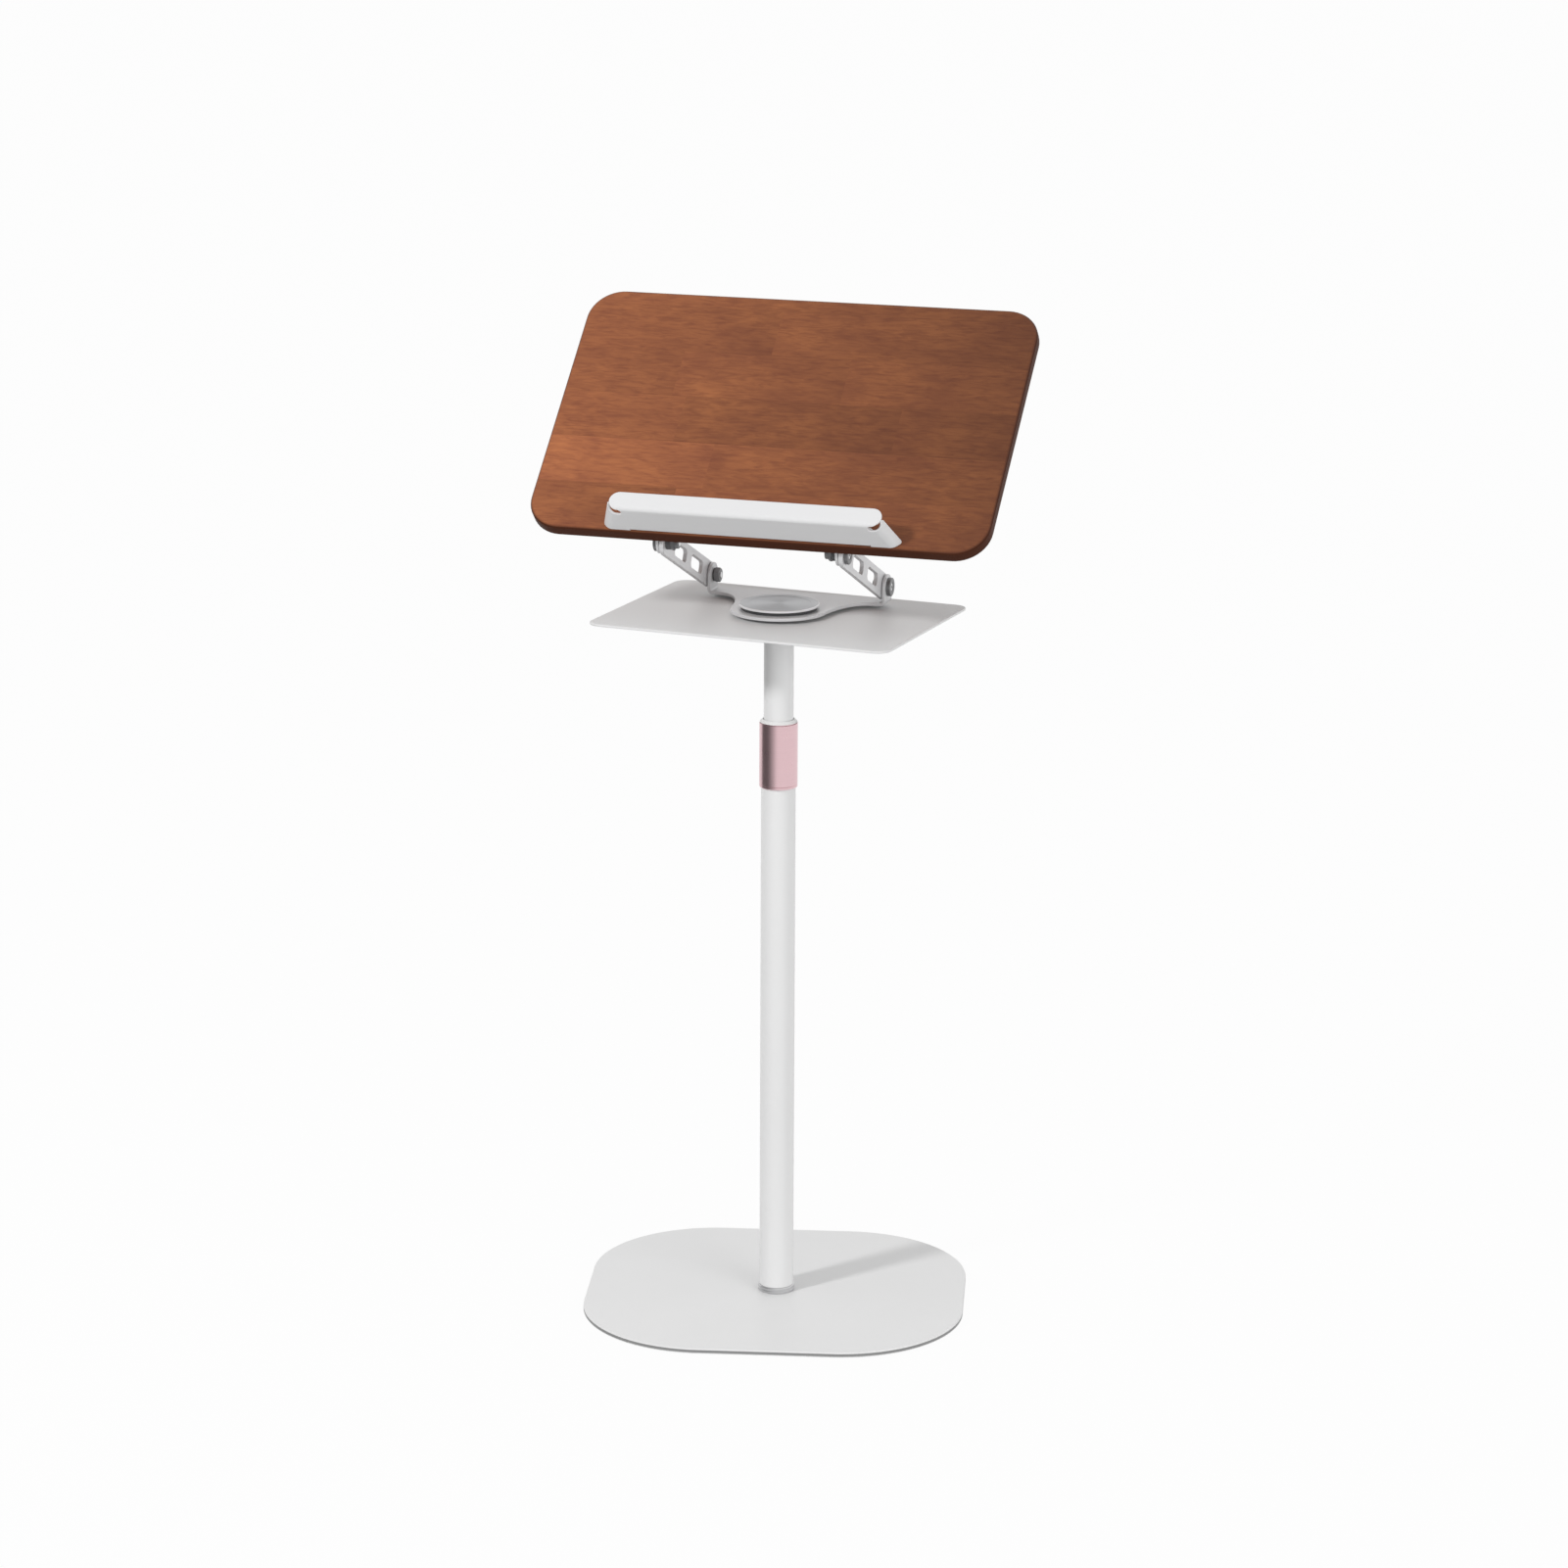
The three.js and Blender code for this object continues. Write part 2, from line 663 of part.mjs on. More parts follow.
// One pivot: a cup on the outer side of the two plates, a pin whose head lies in the cup, and
// spring washers and a nut on the inner side.
function addPivot(parent, name, outward, plates, stackLength, nut) {
  const pivot = new THREE.Group();
  pivot.rotation.z = outward > 0 ? 0 : Math.PI;
  parent.add(pivot);
  const [inner, outer] = plates.map((place) => place * outward).sort((a, b) => a - b);

  const pinRadius = pinDiameter / 2;
  const bore = pinRadius + pinClearance;
  const cupRadius = cupDiameter / 2;
  const headRadius = cupRadius - cupWall;
  const cupFloor = outer + cupFloorThickness;
  const cupEnd = outer + cupLength;
  const cup = [
    [bore, outer],
    [cupRadius, outer],
    [cupRadius, cupEnd - cupChamfer],
    [cupRadius - cupChamfer, cupEnd],
    [headRadius, cupEnd],
    [headRadius, cupFloor],
    [bore, cupFloor],
  ];
  add(pivot, `${name}_cup`, alongX(turned([...cup, cup[0]], smallRoundSides)), darkSteel());

  const nutTop = inner - stackLength;
  const tail = nutTop - nut.length - pinTail;
  const headEnd = cupEnd - pinHeadRecess;
  const shank = turned([
    [0, tail],
    [pinRadius, tail],
    [pinRadius, cupFloor],
    [headRadius - pinHeadClearance, cupFloor],
    [headRadius - pinHeadClearance, headEnd],
    [0, headEnd],
  ], smallRoundSides);
  const socket = plate(hexagon(pinSocketAcross), headEnd - pinSocketDepth, headEnd + overrun);
  add(pivot, `${name}_pin`, alongX(cut(shank, socket)), brightSteel());

  const stack = ring(springStackDiameter / 2, bore, nutTop, inner, smallRoundSides);
  add(pivot, `${name}_spring_washers`, alongX(stack), darkSteel());
  add(pivot, `${name}_nut`, alongX(nut.geometry.translate(0, 0, nutTop)), darkSteel());
}

function addWasher(parent, name, from, to) {
  const bore = pinDiameter / 2 + pinClearance;
  const washer = ring(frictionWasherDiameter / 2, bore, from, to, smallRoundSides);
  add(parent, `${name}_washer`, alongX(washer), greyNylon());
}

// Board, seen in its own tilted frame: X along its width, Y up its face, Z out of its face.
// Its origin is the axis of the upper pivots.
function buildBoard() {
  const rise = armRiseDegrees * degree;
  const board = new THREE.Group();
  board.position.set(
    0,
    pivotSetback - armLength * Math.cos(rise),
    pivotHeight + armLength * Math.sin(rise),
  );
  board.rotation.x = Math.PI / 2 - boardLeanDegrees * degree;
  stand.add(board);

  const back = leafStandoff;
  const front = back + boardThickness;
  const bottomEdge = -leafRise;
  const leafScrews = leafScrewPlaces();
  const ledgeBottom = bottomEdge + ledgeLift;
  const ledgeScrews = ledgeScrewPlaces(ledgeBottom);
  const pilot = screwDiameter / 2 + screwClearance;
  const middle = bottomEdge + boardHeight / 2;
  const outline = roundedRectangle(boardWidth, boardHeight, boardCornerRadius, 0, middle);
  const pilots = [
    ...leafScrews.map(([, x, y]) => disc(pilot, back - overrun, back + screwGrip + overrun, screwSides)
      .translate(x, y, 0)),
    ...ledgeScrews.map(([, x, y]) => disc(pilot, front - screwGrip - overrun, front + overrun, screwSides)
      .translate(x, y, 0)),
  ];
  add(board, 'reading_board', cut(plate(outline, back, front, boardEdgeRound), ...pilots), walnut());

  const leafFace = back - seatGap;
  for (const [side, centre] of [['left', -hingeSpacing / 2], ['right', hingeSpacing / 2]]) {
    add(board, `${side}_hinge_leaf`, leafGeometry(leafFace).translate(centre, 0, 0), hingeMetal());
  }
  for (const [name, x, y] of leafScrews) {
    const head = leafFace - leafThickness - seatGap;
    const screw = screwGeometry(screwGrip + leafThickness + seatGap).rotateX(Math.PI).translate(x, y, head);
    add(board, `${name}_leaf_screw`, screw, darkSteel());
  }

  add(board, 'book_ledge', ledgeGeometry(front + seatGap, ledgeBottom), whiteCoat());
  for (const [name, x, y] of ledgeScrews) {
    const head = front + seatGap + ledgeSheet + seatGap;
    const screw = screwGeometry(screwGrip + ledgeSheet + seatGap).translate(x, y, head);
    add(board, `${name}_ledge_screw`, screw, brightSteel());
  }
}

// Leaf: an ear round the upper pivot, bent into a flange that lies on the back of the board.
function leafGeometry(face) {
  const flangeBack = face - leafThickness;
  const flangeTop = leafFlangeHeight - leafFlangeDrop;
  const earTop = flangeTop - leafCornerRadius;
  const ear = new THREE.Shape();
  ear.absarc(0, 0, leafEarRadius, Math.PI, Math.PI * 1.5, false);
  ear.lineTo(face, -leafFlangeDrop);
  ear.lineTo(face, earTop);
  ear.lineTo(flangeBack, earTop);
  ear.closePath();
  ear.holes.push(circleHole(pinDiameter / 2 + pinClearance));
  const turn = new THREE.Matrix4().makeBasis(
    new THREE.Vector3(0, 0, 1),
    new THREE.Vector3(0, 1, 0),
    new THREE.Vector3(-1, 0, 0),
  );
  const upright = plate(ear, -leafRight, -leafLeft, 0, smallCurveSides).applyMatrix4(turn);
  const flange = plate(roundedRectangle(
    leafFlangeWidth,
    leafFlangeHeight,
    leafCornerRadius,
    leafRight - leafFlangeWidth / 2,
    leafFlangeHeight / 2 - leafFlangeDrop,
  ), flangeBack, face, 0, smallCurveSides);
  const pilot = screwDiameter / 2 + screwClearance;
  const holes = leafScrewSpots().map(([x, y]) => disc(pilot, flangeBack - overrun, face + overrun, screwSides)
    .translate(x, y, 0));
  return cut(join(flange, upright), ...holes);
}

// Three screws in each flange, in a row beside the ear, counted from the middle of the lower ear.
function leafScrewSpots() {
  const flangeMiddle = leafLeft - (leafFlangeWidth - leafThickness) / 2;
  const top = leafFlangeHeight - leafFlangeDrop - leafScrewEdge;
  const low = leafScrewEdge + springStackDiameter / 2;
  return [[flangeMiddle, top], [flangeMiddle, (top + low) / 2], [flangeMiddle, low]];
}

function leafScrewPlaces() {
  const names = ['top', 'middle', 'low'];
  return [['left', -hingeSpacing / 2], ['right', hingeSpacing / 2]].flatMap(([side, centre]) => (
    leafScrewSpots().map(([x, y], i) => [`${side}_${names[i]}`, centre + x, y])
  ));
}

// Ledge: one bent sheet. A flange lies on the board, the ends of the shelf curve up, and a lip
// with round ends stands at the front, with a relief hole in each corner beside the fold.
function ledgeGeometry(face, bottom) {
  const lipFace = face + ledgeDepth;
  const bend = ledgeLipHeight / 2;
  const flange = plate(roundedRectangle(
    ledgeFlangeWidth,
    ledgeFlangeHeight,
    ledgeFlangeRadius,
    0,
    bottom + ledgeFlangeHeight / 2,
  ), face, face + ledgeSheet, 0, smallCurveSides);
  const flangeRoot = new THREE.BoxGeometry(ledgeFlangeWidth, ledgeFlangeRadius, ledgeSheet)
    .translate(0, bottom + ledgeFlangeRadius / 2, face + ledgeSheet / 2);
  const lip = plate(
    roundedRectangle(ledgeLipWidth, ledgeLipHeight, bend, 0, bottom + bend),
    lipFace - ledgeSheet,
    lipFace,
  );
  const cutDepth = bend + 2 * overrun;
  const ontoShelf = (geometry) => geometry.rotateX(Math.PI / 2).translate(0, bottom + bend + overrun, 0);
  const rounding = ontoShelf(plate(shelfOutline(face, lipFace), 0, cutDepth));
  const reliefX = ledgeLipWidth / 2 - ledgeSheet - ledgeReliefRadius;
  const reliefs = [-1, 1].map((side) => {
    const hole = disc(ledgeReliefRadius, 0, cutDepth, smallRoundSides);
    return ontoShelf(hole.translate(side * reliefX, lipFace - ledgeSheet, 0));
  });
  const shelf = cut(trim(shelfGeometry(face, lipFace - ledgeSheet / 2, bottom), rounding), ...reliefs);
  const pilot = screwDiameter / 2 + screwClearance;
  const holes = ledgeScrewPlaces(bottom).map(([, x, y]) => (
    disc(pilot, face - overrun, face + ledgeSheet + overrun, screwSides).translate(x, y, 0)
  ));
  return cut(join(shelf, flange, flangeRoot, lip), ...holes);
}

// The shelf's section is flat with both ends curved up, and it narrows from the board to the lip.
function shelfGeometry(face, front, bottom) {
  const bend = ledgeLipHeight / 2;
  const half = ledgeBackWidth / 2;
  const section = new THREE.Shape();
  section.absarc(-half + bend, bend, bend, Math.PI, Math.PI * 1.5, false);
  section.absarc(half - bend, bend, bend, -Math.PI / 2, 0, false);
  section.absarc(half - bend, bend, bend - ledgeSheet, 0, -Math.PI / 2, true);
  section.absarc(-half + bend, bend, bend - ledgeSheet, Math.PI * 1.5, Math.PI, true);
  section.closePath();
  const geometry = plate(section, face, front).translate(0, bottom, 0);
  const place = geometry.attributes.position;
  for (let i = 0; i < place.count; i += 1) {
    const taper = (1 - ledgeLipWidth / ledgeBackWidth) * (place.getZ(i) - face) / ledgeDepth;
    place.setX(i, place.getX(i) * (1 - taper));
  }
  return geometry;
}

// Outline that trims the shelf, with round corners at the board. Its sides pass just outside.
function shelfOutline(face, lipFace) {
  const back = ledgeBackWidth / 2 + seatGap;
  const lip = ledgeLipWidth / 2 + seatGap;
  const sideShare = ledgeCornerRadius / ledgeDepth;
  const sideStart = back + (lip - back) * sideShare;
  const shape = new THREE.Shape();
  shape.moveTo(-lip, lipFace);
  shape.lineTo(-sideStart, face + ledgeCornerRadius);
  shape.quadraticCurveTo(-back, face, -back + ledgeCornerRadius, face);
  shape.lineTo(back - ledgeCornerRadius, face);
  shape.quadraticCurveTo(back, face, sideStart, face + ledgeCornerRadius);
  shape.lineTo(lip, lipFace);
  shape.closePath();
  return shape;
}

function ledgeScrewPlaces(bottom) {
  const side = ledgeFlangeWidth / 2 - ledgeScrewEdge;
  const y = bottom + ledgeSheet + (ledgeFlangeHeight - ledgeSheet) / 2;
  return [['left', -side, y], ['middle', 0, y], ['right', side, y]];
}

// A wood screw along Z, its head from 0 up and its shank down to -grip.
function screwGeometry(grip) {
  return turned([
    [0, -grip],
    [screwDiameter / 2, -grip],
    [screwDiameter / 2, 0],
    [screwHeadDiameter / 2, 0],
    [screwHeadDiameter / 2, screwHeadHeight / 2],
    [screwHeadDiameter / 2 - screwHeadHeight / 2, screwHeadHeight],
    [0, screwHeadHeight],
  ], screwSides);
}

buildBase();
buildFoot();
buildTubes();
buildTwistLock();
buildTray();
buildTurntable();
buildArms();
buildBoard();

export default stand;
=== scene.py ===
import json
import math

import bmesh
import bpy
from mathutils import Matrix, Vector


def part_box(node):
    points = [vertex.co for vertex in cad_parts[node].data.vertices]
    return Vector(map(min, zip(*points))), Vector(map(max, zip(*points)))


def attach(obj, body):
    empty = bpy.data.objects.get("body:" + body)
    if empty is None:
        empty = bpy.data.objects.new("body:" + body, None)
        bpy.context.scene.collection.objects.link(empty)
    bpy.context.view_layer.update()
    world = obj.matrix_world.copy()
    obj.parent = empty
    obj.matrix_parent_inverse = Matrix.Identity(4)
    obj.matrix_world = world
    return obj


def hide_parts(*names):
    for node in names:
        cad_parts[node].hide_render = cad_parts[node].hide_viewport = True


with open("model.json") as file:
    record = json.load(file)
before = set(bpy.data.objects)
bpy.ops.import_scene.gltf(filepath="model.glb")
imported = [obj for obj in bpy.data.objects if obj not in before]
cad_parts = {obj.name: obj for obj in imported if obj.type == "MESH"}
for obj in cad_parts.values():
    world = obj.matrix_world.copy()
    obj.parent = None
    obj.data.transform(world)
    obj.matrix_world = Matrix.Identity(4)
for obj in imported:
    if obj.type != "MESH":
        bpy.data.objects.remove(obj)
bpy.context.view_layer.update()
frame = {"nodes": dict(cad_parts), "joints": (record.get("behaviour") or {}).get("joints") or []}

# Base plate: one flat sheet of 4 mm steel, laser cut with large round corners. Its faces are
# coated satin white, and its cut edge is painted grey: painted shade, for the shade that falls
# on the edge. It is turned a little round the post, as the stand was set up.
base_turn = math.radians(13.8)
base_width = 0.312
base_depth = 0.280
base_corner = 0.102
base_edge = 0.0009
base_low, base_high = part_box("base_plate")
base_place = Matrix.Translation((0, 0, base_low.z))
white_paint = (0.745, 0.745, 0.745, 1)
# The grey given to the cut edge is painted shade.
edge_paint = (0.25, 0.25, 0.25, 1)
coat_peel = 0.0011
coat_peel_height = 0.00002
coat_mottle = 0.05
coat_cloud_scale = 9.0
coat_gloss_spread = 0.06
white_roughness = 0.42
edge_roughness = 0.5


def rounded(corners, quarter_steps=12):
    """The points of a closed outline whose corners (x, y, radius) are rounded by arcs."""
    points = []
    for i, (x, y, radius) in enumerate(corners):
        corner = Vector((x, y))
        if radius == 0:
            points.append(corner)
            continue
        back = (Vector(corners[i - 1][:2]) - corner).normalized()
        ahead = (Vector(corners[(i + 1) % len(corners)][:2]) - corner).normalized()
        half = back.angle(ahead) / 2
        centre = corner + (back + ahead).normalized() * radius / math.sin(half)
        start = corner + back * radius / math.tan(half) - centre
        sweep = math.copysign(math.pi - 2 * half, -back.cross(ahead))
        steps = max(2, round(quarter_steps * abs(sweep) / (math.pi / 2)))
        points += [centre + Matrix.Rotation(sweep * k / steps, 2) @ start for k in range(steps + 1)]
    return points


def rectangle(width, height, radius, middle=(0, 0), quarter_steps=12):
    """A rectangle with round corners, counter-clockwise."""
    x, y = middle
    signs = ((-1, -1), (1, -1), (1, 1), (-1, 1))
    corners = [(x + sx * width / 2, y + sy * height / 2, radius) for sx, sy in signs]
    return rounded(corners, quarter_steps)


def plate(name, outlines, thickness, rim, rim_steps=3):
    """A flat plate from z 0 up, cut along its first outline, with the others as openings."""
    pattern = bpy.data.curves.new(name, "CURVE")
    pattern.dimensions = "2D"
    pattern.fill_mode = "BOTH"
    pattern.extrude = thickness / 2 - rim
    pattern.bevel_depth = rim
    pattern.bevel_resolution = rim_steps
    pattern.offset = -rim
    for points in outlines:
        line = pattern.splines.new("POLY")
        line.points.add(len(points) - 1)
        for target, (x, y) in zip(line.points, points):
            target.co = (x, y, 0, 1)
        line.use_cyclic_u = True
    cut = bpy.data.objects.new(name, pattern)
    mesh = bpy.data.meshes.new_from_object(cut)
    bpy.data.objects.remove(cut)
    bm = bmesh.new()
    bm.from_mesh(mesh)
    bmesh.ops.remove_doubles(bm, verts=bm.verts, dist=rim / 100)
    bmesh.ops.translate(bm, verts=bm.verts, vec=(0, 0, thickness / 2))
    bmesh.ops.recalc_face_normals(bm, faces=bm.faces)
    bm.to_mesh(mesh)
    bm.free()
    return mesh


def placed(name, data):
    """A new object in the scene."""
    made = bpy.data.objects.new(name, data)
    bpy.context.scene.collection.objects.link(made)
    return made


def mount(name, mesh, place, body, slot, finish, *nodes, crease=40):
    """Puts a finished piece where it belongs, shades it and lets it stand for its CAD nodes."""
    mesh.name = name
    mesh.polygons.foreach_set("use_smooth", [True] * len(mesh.polygons))
    mesh.set_sharp_from_angle(angle=math.radians(crease))
    mesh.materials.clear()
    mesh.materials.append(finish)
    piece = placed(name, mesh)
    piece.matrix_world = place
    shading = piece.modifiers.new("even shading", "WEIGHTED_NORMAL")
    shading.keep_sharp = True
    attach(piece, body)
    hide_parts(*nodes)
    return piece


def repaint(mesh, finish, chosen):
    """Gives another finish to the faces of a finished piece whose middle a test picks."""
    mesh.materials.append(finish)
    for face in mesh.polygons:
        if chosen(face.center):
            face.material_index = len(mesh.materials) - 1


def node(tree, kind, inputs=None, **settings):
    """Adds a shader node. Each input is a value, or another node's output to link."""
    made = tree.nodes.new("ShaderNode" + kind)
    for name, value in settings.items():
        setattr(made, name, value)
    for name, value in (inputs or {}).items():
        if isinstance(value, bpy.types.NodeSocket):
            tree.links.new(value, made.inputs[name])
        else:
            made.inputs[name].default_value = value
    return made


def shader(name, uniform=None):
    """A new material with a principled shader, and the values that are the same all over it."""
    material = bpy.data.materials.new(name)
    material.use_nodes = True
    surface = material.node_tree.nodes["Principled BSDF"]
    for socket, value in (uniform or {}).items():
        surface.inputs[socket].default_value = value
    return material, material.node_tree, surface


def mixed(tree, low, high, share):
    """A colour between two others, by a share that varies over the surface."""
    blend = node(tree, "Mix", data_type="RGBA")
    for socket, value in zip((blend.inputs[6], blend.inputs[7]), (low, high)):
        if isinstance(value, bpy.types.NodeSocket):
            tree.links.new(value, socket)
        else:
            socket.default_value = value
    tree.links.new(share, blend.inputs[0])
    return blend.outputs[2]


def remapped(tree, value, low, high, start=0.0, stop=1.0):
    """A value that runs from start to stop, made to run from low to high."""
    ranges = {"From Min": start, "From Max": stop, "To Min": low, "To Max": high}
    return node(tree, "MapRange", {"Value": value, **ranges}).outputs["Result"]


def noise(tree, place, scale, detail, distortion=0.0):
    """A cloudy texture, as a number from 0 to 1."""
    texture = {"Vector": place, "Scale": scale, "Detail": detail, "Distortion": distortion}
    return node(tree, "TexNoise", texture).outputs["Fac"]


def shaded(colour, factor):
    """A colour made darker or lighter."""
    return tuple(c * factor for c in colour[:3]) + (1,)


def varied(tree, surface, colours, share, gloss, roughness, either_way):
    """Gives the surface a colour between two, and a roughness that strays either way."""
    tree.links.new(mixed(tree, *colours, share), surface.inputs["Base Color"])
    uneven = remapped(tree, gloss, roughness - either_way, roughness + either_way)
    tree.links.new(uneven, surface.inputs["Roughness"])


def raised(tree, surface, height, depth):
    """Gives the surface a relief of that depth in metres."""
    bump = node(tree, "Bump", {"Height": height, "Distance": depth, "Strength": 1.0})
    tree.links.new(bump.outputs["Normal"], surface.inputs["Normal"])


def powder_coat(name, paint, roughness):
    """Baked powder: a fine orange peel, a faint mottle and a slightly uneven gloss."""
    material, tree, surface = shader(name)
    place = node(tree, "TexCoord").outputs["Object"]
    cloud = noise(tree, place, coat_cloud_scale, 3.0)
    peel = noise(tree, place, 1 / coat_peel, 2.0)
    colours = (shaded(paint, 1 - coat_mottle), paint)
    varied(tree, surface, colours, cloud, peel, roughness, coat_gloss_spread)
    raised(tree, surface, peel, coat_peel_height)
    return material


white_coat = powder_coat("white powder coat", white_paint, white_roughness)
base_thickness = base_high.z - base_low.z
base_outline = rectangle(base_width, base_depth, base_corner, quarter_steps=36)
base_plate = plate("base plate", [base_outline], base_thickness, base_edge)
base_plate.transform(Matrix.Rotation(base_turn, 4, "Z"))
mount("base_plate_coated", base_plate, base_place, "base", "white_coat", white_coat, "base_plate")
# Painted shade: the plate's cut edge gets a dark grey coat that stands in for the shade on it.
shaded_edge_coat = powder_coat("cut edge painted shade", edge_paint, edge_roughness)
repaint(base_plate, shaded_edge_coat, lambda at: base_edge < at.z < base_thickness - base_edge)

# Pads: discs of black rubber stuck under the base, a small one at each corner and a large one
# over the head of the base screw. Each has a rounded rim and a shallow ring in its face.
weld_gap = 1e-7
pad_rim = 0.0005
pad_groove_shares = (0.62, 0.74)
pad_groove_depth = 0.0004
pad_groove_edge = 0.000125
rubber_black = (0.018, 0.018, 0.019, 1)
rubber_grain = 0.0006
rubber_roughness = 0.8
moulded_speckle = 1.35
moulded_gloss_spread = 0.08
moulded_relief_share = 1 / 20


def meshed(bm, name):
    """The mesh of finished points and faces."""
    mesh = bpy.data.meshes.new(name)
    bm.to_mesh(mesh)
    bm.free()
    return mesh


def spun(name, section, sides=96):
    """A turned piece: a closed section of (radius, height, corner radius), spun round z."""
    bm = bmesh.new()
    corners = [bm.verts.new((x, 0, z)) for x, z in rounded(section, quarter_steps=4)]
    edges = []
    for a, b in zip(corners, corners[1:] + corners[:1]):
        if a.co.x > 0 or b.co.x > 0:
            edges.append(bm.edges.new((a, b)))
    turn = {"axis": (0, 0, 1), "cent": (0, 0, 0), "angle": 2 * math.pi, "steps": sides}
    bmesh.ops.spin(bm, geom=corners + edges, use_merge=True, **turn)
    bmesh.ops.remove_doubles(bm, verts=bm.verts, dist=weld_gap)
    bmesh.ops.recalc_face_normals(bm, faces=bm.faces)
    return meshed(bm, name)


def moulded(name, colour, roughness, grain):
    """Moulded rubber or plastic: matt, with a fine grain from the mould."""
    material, tree, surface = shader(name)
    place = node(tree, "TexCoord").outputs["Object"]
    speckle = noise(tree, place, 1 / grain, 3.0)
    colours = (colour, shaded(colour, moulded_speckle))
    varied(tree, surface, colours, speckle, speckle, roughness, moulded_gloss_spread)
    raised(tree, surface, speckle, grain * moulded_relief_share)
    return material


rubber = moulded("black rubber", rubber_black, rubber_roughness, rubber_grain)
pads = [n for n in frame["nodes"] if n.startswith("floor_pad")] + ["centre_pad"]
for pad_node in pads:
    low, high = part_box(pad_node)
    radius = (high.x - low.x) / 2
    groove_in, groove_out = (share * radius for share in pad_groove_shares)
    pad = spun(pad_node, [
        (0, high.z, 0),
        (0, low.z, 0),
        (groove_in, low.z, pad_groove_edge),
        (groove_in, low.z + pad_groove_depth, pad_groove_edge),
        (groove_out, low.z + pad_groove_depth, pad_groove_edge),
        (groove_out, low.z, pad_groove_edge),
        (radius, low.z, pad_rim),
        (radius, high.z, 0),
    ], sides=64)
    middle = (low + high) / 2
    pad_place = Matrix.Translation((middle.x, middle.y, 0))
    mount(pad_node + "_rubber", pad, pad_place, "base", "black_rubber", rubber, pad_node)

# Foot of the post: a narrow turned collar of bright steel on which the lower tube stands. The
# base screw comes up through it from below and pulls on a threaded plug inside the tube.
collar_edge = 0.0008
collar_groove = 0.0003
collar_groove_share = 0.45
screw_bore = 0.0042
steel_bright = (0.68, 0.68, 0.69, 1)
steel_roughness = 0.3
turning_pitch = 0.00035
turning_depth = 0.000004
turning_cloud_scale = 60.0
turning_shade = 0.86
turning_gloss_spread = 0.05


def turned_metal(name, colour, roughness, depth=turning_depth, uniform=None):
    """Metal from the lathe: fine rings round its axis, which catch the light in a bow tie."""
    material, tree, surface = shader(name, {"Metallic": 1.0, **(uniform or {})})
    place = node(tree, "TexCoord").outputs["Object"]
    parts = node(tree, "SeparateXYZ", {"Vector": place}).outputs
    flat = node(tree, "CombineXYZ", {"X": parts["X"], "Y": parts["Y"]}).outputs["Vector"]
    radius = node(tree, "VectorMath", {0: flat}, operation="LENGTH").outputs["Value"]
    rings = node(tree, "CombineXYZ", {"X": radius, "Y": parts["Z"]}).outputs["Vector"]
    tool = noise(tree, rings, 1 / turning_pitch, 4.0)
    cloud = noise(tree, place, turning_cloud_scale, 2.0)
    colours = (shaded(colour, turning_shade), colour)
    varied(tree, surface, colours, tool, cloud, roughness, turning_gloss_spread)
    raised(tree, surface, tool, depth)
    return material


bright_steel = turned_metal("bright turned steel", steel_bright, steel_roughness)
low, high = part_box("foot_collar")
collar_radius = high.x
groove_middle = low.z + (high.z - low.z) * collar_groove_share
foot_collar = spun("foot collar", [
    (screw_bore, low.z, 0),
    (collar_radius, low.z, collar_edge / 2),
    (collar_radius, groove_middle - collar_groove, 0),
    (collar_radius - collar_groove, groove_middle, 0),
    (collar_radius, groove_middle + collar_groove, 0),
    (collar_radius, high.z, collar_edge),
    (screw_bore, high.z, 0),
])
mount("foot_collar_turned", foot_collar, Matrix(), "base", "bright_steel", bright_steel, "foot_collar")


def refinish(finish, *names):
    """Gives CAD pieces that stay as they are their finish."""
    for name in names:
        mesh = frame["nodes"][name].data
        mesh.materials.clear()
        mesh.materials.append(finish)


refinish(bright_steel, "base_screw", "foot_plug")

# Lower tube of the post: 28 mm steel tube, coated white, standing on the collar. A nylon bush
# in its mouth guides the upper tube, and the lock's threaded nipple and split collet sit on it.
tube_wall = 0.0012
tube_end = 0.0003
nylon_grey = (0.24, 0.24, 0.245, 1)
nylon_roughness = 0.55
nylon_grain = 0.0009


def tube(name, low, high):
    """A length of tube with softened ends."""
    bore = high.x - tube_wall
    return spun(name, [
        (bore, low.z, tube_end),
        (high.x, low.z, tube_end),
        (high.x, high.z, tube_end),
        (bore, high.z, tube_end),
    ])


nylon = moulded("grey nylon", nylon_grey, nylon_roughness, nylon_grain)
lower_tube = tube("lower tube", *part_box("lower_tube"))
mount("lower_tube_coated", lower_tube, Matrix(), "base", "white_coat", white_coat, "lower_tube")
refinish(nylon, "guide_bush", "clamp_nipple", "collet")

# Upper tube: 24 mm steel tube, coated white, which slides and turns in the lower one. A nylon
# glide is pressed into its hidden lower end.
upper_tube = tube("upper tube", *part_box("upper_tube"))
mount("upper_tube_coated", upper_tube, Matrix(), "column", "white_coat", white_coat, "upper_tube")
refinish(nylon, "bottom_glide")

# Lock sleeve: turned aluminium, anodised satin pink, with a fine turned line near its foot. A
# tapered ring of white nylon closes its mouth, above a narrow groove. Turning the sleeve on the
# nipple draws its inner cone down on the collet.
sleeve_wall = 0.0013
sleeve_lip_bore = 0.0125
sleeve_lip_height = 0.004
sleeve_cone_height = 0.010
sleeve_bevel = 0.0006
sleeve_line = 0.00025
sleeve_line_inset = 0.0022
sleeve_ring_height = 0.0030
sleeve_ring_top = 0.0130
sleeve_groove = 0.0007
sleeve_groove_depth = 0.0012
nylon_white = (0.62, 0.62, 0.615, 1)
white_nylon_roughness = 0.5
anodised_pink = (0.80, 0.565, 0.595, 1)
pink_roughness = 0.29
pink_relief = 0.0000015
low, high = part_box("lock_sleeve")
sleeve_radius = high.x
sleeve_bore = sleeve_radius - sleeve_wall
